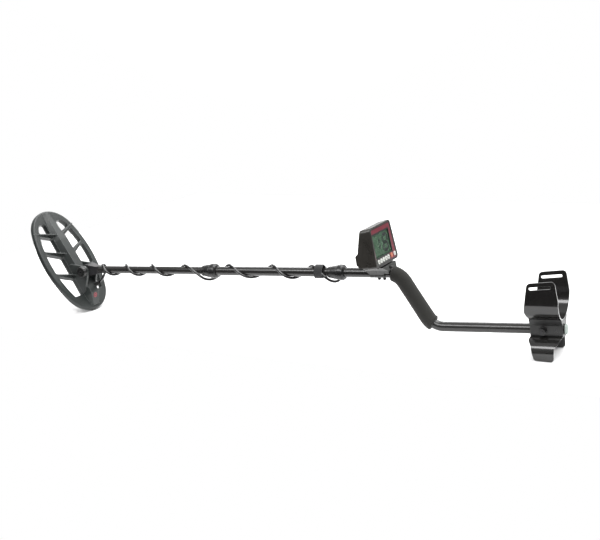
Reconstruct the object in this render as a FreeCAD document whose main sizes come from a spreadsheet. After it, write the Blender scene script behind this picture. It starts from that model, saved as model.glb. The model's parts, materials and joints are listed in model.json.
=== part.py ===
import FreeCAD, Part
import math
import os
import Sketcher

# A hobby metal detector on an S-shaped rod: search coil, telescoping rods, control box, grip, arm cuff, stand.
#
# The pieces are drawn in three frames and then placed together:
#   rod frame   +X up the straight rods towards the cuff, +Y to the user's right, origin on the coil's pivot
#   coil frame  +X towards the coil's heel, +Z out of its top face, origin at the middle of that face
#   face frame  +X out of the control box's face, +Z up along the face, origin at the middle of the face
# The finished part stands on the coil's heel and the two feet, with the floor at Z = 0.

V = FreeCAD.Vector
PARTS_DIR = "parts"
doc = FreeCAD.newDocument("metal_detector")
sheet = doc.addObject("Spreadsheet::Sheet", "Sizes")

# ---------------------------------------------------------------- driving dimensions, mm and degrees
SIZES = [
    # stance
    ("rod_rise", 2.964, "slope of the straight rods, degrees"),
    ("coil_tilt", 63.14, "coil face below the rods' line, degrees"),
    ("face_tilt", 7.53, "control box face leans back, degrees"),
    # coil
    ("coil_half_length", 145.7, "pivot end to toe, half"),
    ("coil_half_width", 90.8, ""),
    ("coil_end_radius", 77, "radius of the oval's two ends"),
    ("coil_thickness", 13.7, "rim"),
    ("cover_thickness", 3.4, "bottom cover"),
    ("rim_width", 16, "rim outside the openings"),
    ("opening_end_radius", 61, "ends of the openings' oval"),
    ("spine_half_foot", 20.5, "middle of the coil, inner edge of the openings"),
    ("spine_half_top", 13, ""),
    ("spine_height", 18, "above the rim's top face"),
    ("opening_toe", 112, "openings start this far toewards"),
    ("opening_heel", 99, "openings end this far heelwards"),
    ("channel_depth", 7, "winding channel"),
    ("pivot_along", 49.7, "pivot from the middle towards the heel"),
    ("pivot_height", 37.9, "pivot above the rim's top face"),
    ("ear_gap", 31, "between the two ears"),
    ("ear_thickness", 6, ""),
    ("ear_radius", 13.5, ""),
    ("bolt_radius", 4, "nylon pivot bolt"),
    ("knob_radius", 14, "pivot knob"),
    ("yoke_radius", 15, "rod tip round the pivot"),
    # rods and tubes
    ("lower_radius", 9.525, "3/4 inch lower rod"),
    ("lower_bore", 8.3, ""),
    ("tube_radius", 11.1, "7/8 inch middle and upper tubes"),
    ("tube_bore", 9.6, ""),
    ("yoke_end", 36, "lower tube starts here"),
    ("lower_end", 548, "lower tube's hidden end"),
    ("middle_start", 370, "middle tube starts here"),
    ("middle_shoulder", 722, "middle tube's spigot starts here"),
    ("middle_end", 792, "middle tube's hidden end"),
    ("first_bend", 880.4, "where the upper tube turns down"),
    ("grip_drop", 119.7, "fall of the grip stretch"),
    ("second_bend", 951.6, "where it turns level again"),
    ("rear_end", 1240.6, "rear end of the tube"),
    ("rear_end_drop", 115, "fall at the rear end"),
    ("bend_radius", 42, "both bends"),
    ("grip_radius", 17.5, "foam grip"),
    # locking collars, measured from their noses
    ("lower_collar_nose", 363, ""),
    ("upper_collar_nose", 709, ""),
    ("collar_length", 41, ""),
    ("collar_rim_radius", 18.2, ""),
    # control box
    ("face_x", 851.9, "middle of the face along the rods"),
    ("face_z", 66.55, "middle of the face above the rods"),
    ("face_half_height", 45, ""),
    ("face_half_top", 54, "half width at the top"),
    ("face_half_bottom", 61, "half width at the bottom"),
    ("seam_x", 836.6, "seam between the two housing halves"),
    ("wall", 2.4, "housing wall"),
    ("lcd_left", 52, ""),
    ("lcd_right", 35, ""),
    ("lcd_top", 28, ""),
    ("lcd_bottom", 24, ""),
    ("key_radius", 5, ""),
    ("key_row", 31.8, "keys below the middle of the face"),
    # arm cuff and stand
    ("cuff_half_width", 50, "outside"),
    ("sheet_thickness", 2.6, "cuff and stand sheet"),
    ("cuff_top", 4.5, "cuff edge below the rods' line"),
    ("cuff_bottom", 94.5, "outside of the cuff's bottom"),
    ("cuff_front", 1167.5, ""),
    ("cuff_rear", 1240, ""),
    ("slot_length", 45, "strap slot"),
    ("slot_width", 6.4, ""),
    ("saddle_front", 1170.5, ""),
    ("saddle_rear", 1238, ""),
    ("cuff_bolt_x", 1197, ""),
    ("foot_half_width", 50, "outside of the two feet"),
    # coil cable
    ("cable_radius", 3.1, ""),
]
for row, (alias, amount, note) in enumerate(SIZES, start=1):
    sheet.set("A%d" % row, alias)
    sheet.set("B%d" % row, str(amount))
    sheet.setAlias("B%d" % row, alias)
    sheet.set("C%d" % row, note)
doc.recompute()


def size(alias):
    """A driving dimension, read from the sheet."""
    return float(sheet.get(alias))


# ---------------------------------------------------------------- document helpers
nodes = {}          # node name -> its document object
frame_of = {}       # node name -> name of the frame it was drawn in
own_place = {}      # node name -> its place in that frame


def register(obj, name, frame, place):
    """Names a finished sub-part and notes where it belongs."""
    obj.Label = name
    nodes[name] = obj
    frame_of[name] = frame
    own_place[name] = place
    return obj


def shape_node(name, frame, shape):
    """A sub-part whose shape comes from Part functions."""
    obj = doc.addObject("Part::Feature", name)
    obj.Shape = shape
    return register(obj, name, frame, FreeCAD.Placement(shape.Placement))


def new_body(name, frame):
    return register(doc.addObject("PartDesign::Body", name), name, frame, FreeCAD.Placement())


def origin_plane(body, role):
    return [feature for feature in body.Origin.OriginFeatures if feature.Role == role][0]


def new_sketch(body, role, offset=0):
    """A sketch on one of the body's own origin planes, lifted along that plane's normal."""
    sketch = body.newObject("Sketcher::SketchObject", "Sketch")
    sketch.AttachmentSupport = [(origin_plane(body, role), "")]
    sketch.MapMode = "FlatFace"
    sketch.AttachmentOffset = FreeCAD.Placement(V(0, 0, 0), FreeCAD.Rotation())
    if isinstance(offset, str):
        sketch.setExpression("AttachmentOffset.Base.z", offset)
    else:
        sketch.AttachmentOffset.Base = V(0, 0, offset)
    return sketch


def amount_of(sketch, term):
    """The number that a term stands for: a plain number, or an expression of sheet cells."""
    return float(sketch.evalExpression(term)) if isinstance(term, str) else float(term)


def pin_point(sketch, geometry, end, corner):
    """Ties one end of a sketch line to its place, by expression where the place is a driving dimension."""
    for kind, term in zip(("DistanceX", "DistanceY"), corner):
        index = sketch.addConstraint(
            Sketcher.Constraint(kind, -1, 1, geometry, end, amount_of(sketch, term)))
        if isinstance(term, str):
            sketch.setExpression("Constraints[%d]" % index, term)


def draw_polygon(sketch, corners):
    points = [V(amount_of(sketch, a), amount_of(sketch, b), 0) for a, b in corners]
    first = sketch.GeometryCount
    count = len(points)
    for i, point in enumerate(points):
        sketch.addGeometry(Part.LineSegment(point, points[(i + 1) % count]), False)
    for i in range(count):
        sketch.addConstraint(Sketcher.Constraint("Coincident", first + i, 2, first + (i + 1) % count, 1))
    for i, corner in enumerate(corners):
        pin_point(sketch, first + i, 1, corner)


def draw_circle(sketch, centre, radius):
    index = sketch.addGeometry(
        Part.Circle(V(amount_of(sketch, centre[0]), amount_of(sketch, centre[1]), 0), V(0, 0, 1),
                    amount_of(sketch, radius)), False)
    pin_point(sketch, index, 3, centre)
    rule = sketch.addConstraint(Sketcher.Constraint("Radius", index, amount_of(sketch, radius)))
    if isinstance(radius, str):
        sketch.setExpression("Constraints[%d]" % rule, radius)


def add_pad(body, sketch, length, both_ways=False):
    pad = body.newObject("PartDesign::Pad", "Pad")
    pad.Profile = sketch
    if isinstance(length, str):
        pad.setExpression("Length", length)
    else:
        pad.Length = length
    if both_ways:
        pad.SideType = "Symmetric"
    return pad


def add_through_cut(body, sketch):
    """A pocket through everything, both ways from the sketch."""
    pocket = body.newObject("PartDesign::Pocket", "Pocket")
    pocket.Profile = sketch
    pocket.Type = "ThroughAll"
    pocket.SideType = "Symmetric"
    return pocket


def revolved(name, frame, corners, role="XZ_Plane", axis="H_Axis"):
    """A turned piece: a closed profile revolved about one of its sketch's axes."""
    body = new_body(name, frame)
    sketch = new_sketch(body, role)
    draw_polygon(sketch, corners)
    turn = body.newObject("PartDesign::Revolution", "Revolution")
    turn.Profile = sketch
    turn.ReferenceAxis = (sketch, [axis])
    turn.Angle = 360
    return body


def box(x0, x1, y0, y1, z0, z1):
    return Part.makeBox(x1 - x0, y1 - y0, z1 - z0, V(x0, y0, z0))


def rod(start, end, radius):
    """A round bar from one point to another."""
    return Part.makeCylinder(radius, (end - start).Length, start, end - start)


def prism(points, along):
    """A polygon pushed along a vector."""
    wire = Part.makePolygon(list(points) + [points[0]])
    return Part.Face(wire).extrude(along)


def rounded(shape, radius, wanted):
    """Fillets every edge for which wanted(edge) is true."""
    return shape.makeFillet(radius, [edge for edge in shape.Edges if wanted(edge)])


def is_along(edge, direction):
    if not isinstance(edge.Curve, (Part.Line, Part.LineSegment)):
        return False
    return abs(edge.tangentAt(edge.FirstParameter).dot(direction)) > 0.999


def bent_path(points, radii):
    """Straight runs joined by tangent arcs of the given radii, as one wire."""
    edges = []
    run_start = points[0]
    for before, corner, after, radius in zip(points, points[1:], points[2:], radii):
        into = (corner - before).normalize()
        out = (after - corner).normalize()
        turn = into.getAngle(out)
        setback = radius * math.tan(turn / 2)
        arc_start = corner - into * setback
        arc_end = corner + out * setback
        towards_centre = (out - into).normalize()
        middle = corner + towards_centre * (radius / math.cos(turn / 2) - radius)
        edges.append(Part.LineSegment(run_start, arc_start).toShape())
        edges.append(Part.Arc(arc_start, middle, arc_end).toShape())
        run_start = arc_end
    edges.append(Part.LineSegment(run_start, points[-1]).toShape())
    return Part.Wire(edges)


def cord_radii(points):
    """Arc radii as large as a cord's two runs allow: 0.45 of the shorter run over tan of half the turn."""
    radii = []
    for before, corner, after in zip(points, points[1:], points[2:]):
        into = corner - before
        out = after - corner
        half_turn = into.getAngle(out) / 2
        radii.append(0.45 * min(into.Length, out.Length) / math.tan(half_turn))
    return radii


def tube_on(path, radius):
    """A solid round tube along a wire."""
    first = path.OrderedEdges[0]
    start = first.valueAt(first.FirstParameter)
    circle = Part.Wire(Part.makeCircle(radius, start, first.tangentAt(first.FirstParameter)))
    return path.makePipeShell([circle], True, False)


def part_of_path(path, from_length, to_length):
    """The stretch of a planar wire between two distances from its start."""
    edges = []
    travelled = 0.0
    for edge in path.OrderedEdges:
        low = max(0.0, from_length - travelled)
        high = min(edge.Length, to_length - travelled)
        if high - low > 1e-6:
            first = edge.getParameterByLength(low)
            last = edge.getParameterByLength(high)
            edges.append(edge.Curve.toShape(first, last))
        travelled += edge.Length
    return Part.Wire(edges)


# ================================================================ search coil (coil frame)
def oval_face(inset, half_length, half_width, end_radius):
    """A four-arc oval in the XY plane, drawn in by an inset."""
    a = half_length - inset
    b = half_width - inset
    r = end_radius - inset
    side_radius = ((a - r) ** 2 + b ** 2 - r ** 2) / (2 * (b - r))
    side_centre = side_radius - b
    joint_angle = math.atan2(side_centre, a - r)
    joint = V(a - r + r * math.cos(joint_angle), r * math.sin(joint_angle), 0)
    corners = [joint, V(-joint.x, joint.y, 0), V(-joint.x, -joint.y, 0), V(joint.x, -joint.y, 0)]
    middles = [V(0, b, 0), V(-a, 0, 0), V(0, -b, 0), V(a, 0, 0)]
    arcs = []
    for start, middle, end in zip(corners, middles, corners[1:] + corners[:1]):
        arcs.append(Part.Arc(start, middle, end).toShape())
    return Part.Face(Part.Wire(arcs))


def oval_block(inset, z0, z1):
    face = oval_face(inset, size("coil_half_length"), size("coil_half_width"), size("coil_end_radius"))
    face.translate(V(0, 0, z0))
    return face.extrude(V(0, 0, z1 - z0))


RIB_MIDDLES = [(-94, -73), (-41, -15.5), (25, 48.5)]    # each rib: at the rim, at the spine
RIB_HALF_AT_RIM = 3
RIB_HALF_AT_SPINE = 6.5
OPENING_CORNER = 4.5
REACH = 75      # how far out the openings' own oval goes


def rib_outline(at_rim, at_spine, side, half_rim, half_spine):
    inner = size("spine_half_foot") - 3
    return [V(at_rim - half_rim, side * (REACH + 5), 0), V(at_rim + half_rim, side * (REACH + 5), 0),
            V(at_spine + half_spine, side * inner, 0), V(at_spine - half_spine, side * inner, 0)]


def opening_blocks(grow, z0, z1):
    """The eight see-through openings as one set of prisms; grow makes them larger all round."""
    face = oval_face(size("rim_width") - grow, size("coil_half_length"), size("coil_half_width"),
                     size("opening_end_radius") + size("rim_width"))
    face.translate(V(0, 0, z0))
    inside = face.extrude(V(0, 0, z1 - z0))
    found = []
    for side in (-1, 1):
        near = side * (size("spine_half_foot") - grow)
        far = side * size("coil_half_width")
        half = inside.common(box(-size("opening_toe") - grow, size("opening_heel") + grow,
                                 min(near, far), max(near, far), z0, z1))
        for at_rim, at_spine in RIB_MIDDLES:
            outline = rib_outline(at_rim, at_spine, side, RIB_HALF_AT_RIM - grow, RIB_HALF_AT_SPINE - grow)
            rib = prism(outline, V(0, 0, z1 - z0))
            rib.translate(V(0, 0, z0))
            half = half.cut(rib)
        for solid in half.Solids:
            found.append(rounded(solid, OPENING_CORNER, lambda edge: is_along(edge, V(0, 0, 1))))
    return Part.makeCompound(found)


def section(x, half_foot, half_top, height):
    """One four-sided section of the spine or the pod."""
    return Part.makePolygon([V(x, -half_foot, -0.5), V(x, half_foot, -0.5), V(x, half_top, height),
                             V(x, -half_top, height), V(x, -half_foot, -0.5)])


def ear_outline():
    """Side view of an ear: round at the pivot, sloping to the spine both ways."""
    centre = V(size("pivot_along"), size("pivot_height"), 0)
    radius = size("ear_radius")
    points = []
    for foot, turn in ((V(14, 8, 0), -1), (V(96, 9, 0), 1)):
        to_centre = centre - foot
        swing = math.asin(radius / to_centre.Length) * -turn
        reach = math.sqrt(to_centre.Length ** 2 - radius ** 2)
        direction = FreeCAD.Rotation(V(0, 0, 1), math.degrees(swing)).multVec(to_centre.normalize())
        points.append((foot, foot + direction * reach))
    (toe_foot, toe_touch), (heel_foot, heel_touch) = points
    top = centre + V(0, radius, 0)
    arc = Part.Arc(toe_touch, top, heel_touch).toShape()
    lines = [Part.LineSegment(V(14, 0, 0), toe_foot), Part.LineSegment(toe_foot, toe_touch)]
    edges = [line.toShape() for line in lines] + [arc]
    for start, end in ((heel_touch, heel_foot), (heel_foot, V(96, 0, 0)), (V(96, 0, 0), V(14, 0, 0))):
        edges.append(Part.LineSegment(start, end).toShape())
    return Part.Face(Part.Wire(edges))


def ears():
    """Both ears, standing in the coil's XZ planes, with a cross hole for the pivot bolt."""
    pair = []
    thickness = size("ear_thickness")
    for side in (-1, 1):
        inner = size("ear_gap") / 2
        plate = ear_outline().extrude(V(0, 0, thickness))
        plate.rotate(V(0, 0, 0), V(1, 0, 0), 90)
        plate.translate(V(0, inner + thickness if side > 0 else -inner, 0))
        pair.append(plate)
    return pair


GLAND_PLACE = V(89, 16.5, 14)
GLAND_AXIS = V(0.10, -0.03, 1.0)       # in the coil frame, nearly straight out of its face

top_z = 0.0
cover_top = -(size("coil_thickness") - size("cover_thickness"))
bottom_z = -size("coil_thickness")
deep = size("channel_depth")

shell = oval_block(0, cover_top, top_z)
shell = rounded(shell, 4, lambda edge: edge.BoundBox.ZMin > -0.01)
shell = shell.cut(opening_blocks(0, cover_top - 1, top_z + 1))
spine = Part.makeLoft([section(-139, 11, 5, 5), section(-57, 20.5, 13, 14), section(30, 20.5, 13, 18),
                       section(72, 20.5, 14, 18)], True, True)
pod = Part.makeLoft([section(71.5, 20.5, 15, 18), section(108, 20.5, 14.5, 20), section(137, 15, 10, 3)],
                    True, True)
shell = shell.fuse([spine, pod] + ears())
for at_rim, at_spine in RIB_MIDDLES:
    for side in (-1, 1):
        foot = V(at_rim, side * REACH, -1)
        root = V(at_spine, side * 14, -1)
        crest = V(at_spine, side * 14, size("spine_height") * 0.62)
        web = prism([foot, root, crest], V(3, 0, 0))
        web.translate(V(-1.5, 0, 0))
        shell = shell.fuse(web)
channel_top = cover_top + deep
rim_channel = oval_block(3, cover_top - 1, channel_top).cut(
    oval_block(size("rim_width") - 3, cover_top - 2, channel_top + 1))
hub_channel = box(-134, 134, -size("spine_half_foot") + 3, size("spine_half_foot") - 3,
                  cover_top - 1, channel_top)
shell = shell.cut(rim_channel).cut(hub_channel)
across = size("ear_gap") / 2 + size("ear_thickness") + 5
pivot = V(size("pivot_along"), 0, size("pivot_height"))
shell = shell.cut(rod(pivot - V(0, across, 0), pivot + V(0, across, 0), size("bolt_radius") + 0.06))
gland_axis = V(GLAND_AXIS).normalize()
shell = shell.cut(rod(GLAND_PLACE - gland_axis * 20, GLAND_PLACE + gland_axis * 30, 4.0))
shell = shell.cut(rod(GLAND_PLACE + gland_axis * 4.15, GLAND_PLACE + gland_axis * 30, 6.65))
shape_node("coil_top_shell", "coil", shell.removeSplitter())

cover = oval_block(0, bottom_z, cover_top)
cover = rounded(cover, 2.5, lambda edge: edge.BoundBox.ZMax < bottom_z + 0.01)
cover = cover.cut(opening_blocks(0, bottom_z - 1, cover_top + 1))
shape_node("coil_bottom_cover", "coil", cover)


def winding(side, z0, z1):
    """A D-shaped loop: half the rim and a straight back just past the middle of the coil."""
    back = -side * 9
    loop = oval_block(5, z0, z1)
    hole = oval_block(11, z0 - 1, z1 + 1)
    far = size("coil_half_width") + 10
    outer = loop.common(box(-200, 200, min(back, side * far), max(back, side * far), z0, z1))
    inner = hole.common(box(-200, 200, min(back + side * 6, side * far), max(back + side * 6, side * far),
                            z0 - 1, z1 + 1))
    return outer.cut(inner)


winding_top = channel_top - 0.4
shape_node("transmit_winding", "coil", winding(-1, winding_top - 2.8, winding_top))
shape_node("receive_winding", "coil", winding(1, winding_top - 6.2, winding_top - 3.4))

# cable gland on the pod: a spigot in the shell, a flange and a tapered, ribbed sleeve with the cable's bore
gland_profile = [(-12, 3.2), (-12, 3.95), (4.2, 3.95), (4.2, 6.6), (7.6, 6.6), (8.4, 5.4)]
for step in range(4):
    along = 9.4 + 2.6 * step
    out = 5.6 - 0.25 * step
    gland_profile += [(along, out), (along + 1.4, out - 0.1)]
    gland_profile += [(along + 1.6, out - 0.9), (along + 2.4, out - 0.9)]
gland_profile += [(21, 4.0), (21, 3.2)]
revolved("cable_gland", "gland", gland_profile)

# pivot: bolt head outside the right ear, shank across, knob on the left
half_across = size("ear_gap") / 2 + size("ear_thickness")
head_y = half_across + 0.3
pivot_bolt = new_body("pivot_bolt", "pivot")
head_sketch = new_sketch(pivot_bolt, "XZ_Plane", -head_y)
hex_radius = 8.6
sixths = [math.radians(60 * k) for k in range(6)]
draw_polygon(head_sketch, [(hex_radius * math.cos(angle), hex_radius * math.sin(angle)) for angle in sixths])
head_pad = add_pad(pivot_bolt, head_sketch, 5)
head_pad.Reversed = True
shank_sketch = new_sketch(pivot_bolt, "XZ_Plane", -head_y)
draw_circle(shank_sketch, (0, 0), "Sizes.bolt_radius")
add_pad(pivot_bolt, shank_sketch, 2 * half_across + 10)

knob_profile = [(half_across + 0.3, 4.06), (half_across + 0.3, 8), (half_across + 1.8, 8),
                (half_across + 1.8, "Sizes.knob_radius"), (half_across + 10.4, "Sizes.knob_radius"),
                (half_across + 12, "Sizes.knob_radius - 1.6"), (half_across + 12, 4.06)]
knob = new_body("pivot_knob", "pivot")
knob_sketch = new_sketch(knob, "XY_Plane")
draw_polygon(knob_sketch, [(out, -along) for along, out in knob_profile])
knob_turn = knob.newObject("PartDesign::Revolution", "Revolution")
knob_turn.Profile = knob_sketch
knob_turn.ReferenceAxis = (knob_sketch, ["V_Axis"])
knob_turn.Angle = 360
groove_sketch = new_sketch(knob, "XZ_Plane")
draw_circle(groove_sketch, ("Sizes.knob_radius + 1.1", 0), 2.0)
groove_cut = knob.newObject("PartDesign::Pocket", "Pocket")
groove_cut.Profile = groove_sketch
groove_cut.Type = "ThroughAll"
groove_cut.SideType = "Symmetric"
grooves = knob.newObject("PartDesign::PolarPattern", "PolarPattern")
grooves.Originals = [groove_cut]
grooves.Axis = (groove_sketch, ["N_Axis"])
grooves.Angle = 360
grooves.Occurrences = 12
knob.Tip = grooves

washers = []
for side in (-1, 1):
    outer_y = side * (size("ear_gap") / 2 - 0.05)
    inner_y = side * (size("ear_gap") / 2 - 2.0)
    ring = rod(V(0, inner_y, 0), V(0, outer_y, 0), 10).cut(rod(V(0, -30, 0), V(0, 30, 0), 4.06))
    washers.append(ring)
shape_node("pivot_washers", "pivot", Part.makeCompound(washers))

# ================================================================ lower rod (rod frame)
YOKE_HALF = size("ear_gap") / 2 - 2.1
yoke = new_body("rod_tip", "rod")
side_sketch = new_sketch(yoke, "XZ_Plane")
draw_circle(side_sketch, (0, 0), "Sizes.yoke_radius")
add_pad(yoke, side_sketch, 2 * YOKE_HALF, both_ways=True)
arm_sketch = new_sketch(yoke, "XZ_Plane")
draw_polygon(arm_sketch, [(0, "-Sizes.yoke_radius"), (9, "-Sizes.yoke_radius"), (30, "-Sizes.lower_radius"),
                          ("Sizes.yoke_end", "-Sizes.lower_radius"), ("Sizes.yoke_end", "Sizes.lower_radius"),
                          (32, "Sizes.lower_radius"), (9, "Sizes.yoke_radius"), (0, "Sizes.yoke_radius")])
add_pad(yoke, arm_sketch, 2 * YOKE_HALF, both_ways=True)
taper_sketch = new_sketch(yoke, "XY_Plane")
for side in (-1, 1):
    draw_polygon(taper_sketch, [(12, side * (YOKE_HALF + 3)), (12, side * YOKE_HALF),
                                (31, side * size("lower_radius")), (60, side * size("lower_radius")),
                                (60, side * (YOKE_HALF + 3))])
add_through_cut(yoke, taper_sketch)
spigot_sketch = new_sketch(yoke, "YZ_Plane", "Sizes.yoke_end - 4")
draw_circle(spigot_sketch, (0, 0), "Sizes.lower_bore - 0.05")
add_pad(yoke, spigot_sketch, 44)
hole_sketch = new_sketch(yoke, "XZ_Plane")
draw_circle(hole_sketch, (0, 0), "Sizes.bolt_radius + 0.06")
add_through_cut(yoke, hole_sketch)


def tube_body(name, start, end, bore, radius):
    return revolved(name, "rod", [(start, bore), (end, bore), (end, radius), (start, radius)])


tube_body("lower_rod_tube", "Sizes.yoke_end", "Sizes.lower_end", "Sizes.lower_bore",
                       "Sizes.lower_radius")
middle_tube = revolved("middle_tube", "rod", [
    ("Sizes.middle_start", "Sizes.tube_bore"), ("Sizes.middle_shoulder - 8", "Sizes.tube_bore"),
    ("Sizes.middle_shoulder", "Sizes.tube_bore - 1.6"), ("Sizes.middle_end", "Sizes.tube_bore - 1.6"),
    ("Sizes.middle_end", "Sizes.tube_bore - 0.06"), ("Sizes.middle_shoulder + 1", "Sizes.tube_bore - 0.06"),
    ("Sizes.middle_shoulder", "Sizes.tube_radius"), ("Sizes.middle_start", "Sizes.tube_radius")])


def collar(name, nose, nose_bore):
    """A twist-lock collar: a cone that widens to the rear, then a thick rounded rim."""
    at = "Sizes.%s" % nose
    rim = "Sizes.collar_rim_radius"
    bore = "Sizes.tube_radius + 0.06"
    return revolved(name, "rod", [
        (at, nose_bore), (at, 12.4), (at + " + 2", 13.6), (at + " + 8", 13.6), (at + " + 10", 14.6),
        (at + " + 22", 16.2), (at + " + 23.4", 15.4), (at + " + 24.6", 15.4), (at + " + 25.6", rim + " - 1"),
        (at + " + 27", rim), (at + " + 36", rim), (at + " + 38.5", rim + " - 1.2"),
        (at + " + Sizes.collar_length", rim + " - 3.6"), (at + " + Sizes.collar_length", bore),
        (at + " + 6.5", bore), (at + " + 5.6", nose_bore)])


collar("lower_collar", "lower_collar_nose", "Sizes.lower_radius + 0.08")
collar("upper_collar", "upper_collar_nose", "Sizes.tube_radius + 0.06")

# spring button of the upper joint: a brass pin through both tubes' right-hand walls, on a folded leaf spring
BUTTON_RADIUS = 2.6
BUTTON_PROUD = 1.4
BUTTON_CHAMFER = 0.8
button_x = size("middle_shoulder") + 40
spigot_bore = size("tube_bore") - 1.6
pin_foot = spigot_bore - 2.2
pin_top = size("tube_radius") + BUTTON_PROUD
pin = rod(V(button_x, pin_foot, 0), V(button_x, pin_top - BUTTON_CHAMFER, 0), BUTTON_RADIUS)
pin = pin.fuse(Part.makeCone(BUTTON_RADIUS, BUTTON_RADIUS - BUTTON_CHAMFER, BUTTON_CHAMFER,
                             V(button_x, pin_top - BUTTON_CHAMFER, 0), V(0, 1, 0)))
shape_node("lock_button", "rod", pin)
leaf_near = pin_foot - 0.05
leaf_far = -spigot_bore + 0.75
leaf_fold = button_x + 26
LEAF = 0.6
leaf = [V(button_x - 5, leaf_near, 0), V(button_x + 5, leaf_near, 0), V(leaf_fold, 0, 0),
        V(button_x - 2, leaf_far, 0), V(button_x - 2, leaf_far + LEAF, 0), V(leaf_fold - 2, 0, 0),
        V(button_x + 4.6, leaf_near - LEAF, 0), V(button_x - 5, leaf_near - LEAF, 0)]
leaf_strip = prism(leaf, V(0, 0, 5))
leaf_strip.translate(V(0, 0, -2.5))
shape_node("button_leaf", "rod", leaf_strip)

button_hole = new_sketch(middle_tube, "XZ_Plane")
draw_circle(button_hole, (button_x, 0), BUTTON_RADIUS + 0.05)
hole_cut = middle_tube.newObject("PartDesign::Pocket", "Pocket")
hole_cut.Profile = button_hole
hole_cut.Length = 20

# ================================================================ upper tube, grip and end cap (rod frame)
corner_a = V(size("first_bend"), 0, 0)
corner_b = V(size("second_bend"), 0, -size("grip_drop"))
tube_start = V(size("middle_shoulder") + 1.05, 0, 0)
tube_end = V(size("rear_end"), 0, -size("rear_end_drop"))
bend = size("bend_radius")
tube_path = bent_path([tube_start, corner_a, corner_b, tube_end], [bend, bend])
s_tube = tube_on(tube_path, size("tube_radius")).cut(tube_on(tube_path, size("tube_bore")))
s_tube = s_tube.cut(rod(V(button_x, 5, 0), V(button_x, 20, 0), BUTTON_RADIUS + 0.05))
BOX_BOLTS = (833, 845.6)
for x in BOX_BOLTS:
    s_tube = s_tube.cut(rod(V(x, 0, -20), V(x, 0, 20), 2.55))
rear_line = (tube_end - corner_b).normalize()


def on_rear_tube(x):
    """The point of the rear tube's axis at a given x."""
    return corner_b + rear_line * ((x - corner_b.x) / rear_line.x)


cuff_axis = on_rear_tube(size("cuff_bolt_x"))
s_tube = s_tube.cut(rod(cuff_axis - V(0, 30, 0), cuff_axis + V(0, 30, 0), 3.05))
shape_node("s_tube", "rod", s_tube)

first_turn = (corner_b - corner_a).getAngle(V(1, 0, 0))
second_turn = (corner_b - corner_a).getAngle(rear_line)
first_straight = (corner_a - tube_start).Length - bend * math.tan(first_turn / 2)
grip_straight = (corner_b - corner_a).Length - bend * (math.tan(first_turn / 2) + math.tan(second_turn / 2))
grip_start = first_straight + bend * math.radians(13)
grip_end = first_straight + bend * first_turn + grip_straight + bend * math.radians(28)
grip_path = part_of_path(tube_path, grip_start, grip_end)
grip = tube_on(grip_path, size("grip_radius")).cut(tube_on(tube_path, size("tube_radius") + 0.02))
shape_node("foam_grip", "rod", grip)

cap_axis = FreeCAD.Rotation(V(1, 0, 0), rear_line)
cap = Part.makeCylinder(size("tube_bore") - 0.05, 14, V(-14, 0, 0), V(1, 0, 0))
cap = cap.cut(Part.makeCylinder(size("tube_bore") - 1.8, 12, V(-14, 0, 0), V(1, 0, 0)))
dome = Part.makeCone(size("tube_radius") + 0.7, size("tube_radius") - 1.4, 3, V(0.05, 0, 0), V(1, 0, 0))
cap = cap.fuse([dome, Part.makeCylinder(size("tube_bore") - 0.05, 0.2, V(-0.1, 0, 0), V(1, 0, 0))])
cap.Placement = FreeCAD.Placement(tube_end, cap_axis)
shape_node("tube_end_cap", "rod", cap)

# ================================================================ control box (face frame: X out, Z up)
HALF_HEIGHT = size("face_half_height")
face_rotation = FreeCAD.Rotation(V(0, 1, 0), -size("face_tilt"))
face_place = FreeCAD.Placement(V(size("face_x"), 0, size("face_z")), face_rotation)


def face_outline(inset, x):
    """The face's outline: a trapezoid, wider at the bottom."""
    top = size("face_half_top") - inset
    bottom = size("face_half_bottom") - inset
    high = HALF_HEIGHT - inset
    return [V(x, -bottom, -high), V(x, bottom, -high), V(x, top, high), V(x, -top, high)]


def outline_block(inset, x0, x1, corner_radius):
    block = prism(face_outline(inset, x0), V(x1 - x0, 0, 0))
    return rounded(block, corner_radius, lambda edge: is_along(edge, V(1, 0, 0)))


def in_face_frame(shape):
    """Moves a shape from the rod frame into the face frame."""
    moved = shape.copy()
    moved.Placement = face_place.inverse().multiply(moved.Placement)
    return moved


far_side = 80
wall = size("wall")
front_space = in_face_frame(box(size("seam_x"), 900, -far_side, far_side, -50, 200))

front = outline_block(0, -60, 0, 9)
front = rounded(front, 1.6, lambda edge: edge.BoundBox.XMin > -0.01)
front = front.cut(outline_block(wall, -60, -wall, 7))
front = front.common(front_space)
front = front.cut(outline_block(3.2, -0.8, 1, 6))
lcd_hole = box(-wall - 1, 1, -size("lcd_left"), size("lcd_right"), -size("lcd_bottom"), size("lcd_top"))
front = front.cut(lcd_hole)
KEY_PLACES = [-44, -31, -18, -5, 8, 26, 43]
for y in KEY_PLACES:
    hole = rod(V(-5, y, -size("key_row")), V(2, y, -size("key_row")), size("key_radius") + 0.35)
    front = front.cut(hole)
shape_node("housing_front", "face", front)

plate = outline_block(3.4, -0.75, -0.05, 5.8)
plate = plate.cut(box(-2, 2, -size("lcd_left") + 1, size("lcd_right") - 1, -size("lcd_bottom") + 1,
                      size("lcd_top") - 1))
for y in KEY_PLACES:
    plate = plate.cut(rod(V(-5, y, -size("key_row")), V(2, y, -size("key_row")), size("key_radius") + 0.35))
shape_node("faceplate", "face", plate)
lcd_y0 = -size("lcd_left")
lcd_y1 = size("lcd_right")
lcd_z0 = -size("lcd_bottom")
lcd_z1 = size("lcd_top")
window = box(-2.4, -0.8, lcd_y0 + 0.2, lcd_y1 - 0.2, lcd_z0 + 0.2, lcd_z1 - 0.2)
shape_node("lcd_window", "face", window)
panel = box(-5.6, -2.6, lcd_y0 + 0.2, lcd_y1 + 3, lcd_z0 - 0.5, lcd_z1 + 3)
shape_node("lcd_panel", "face", panel)

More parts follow.
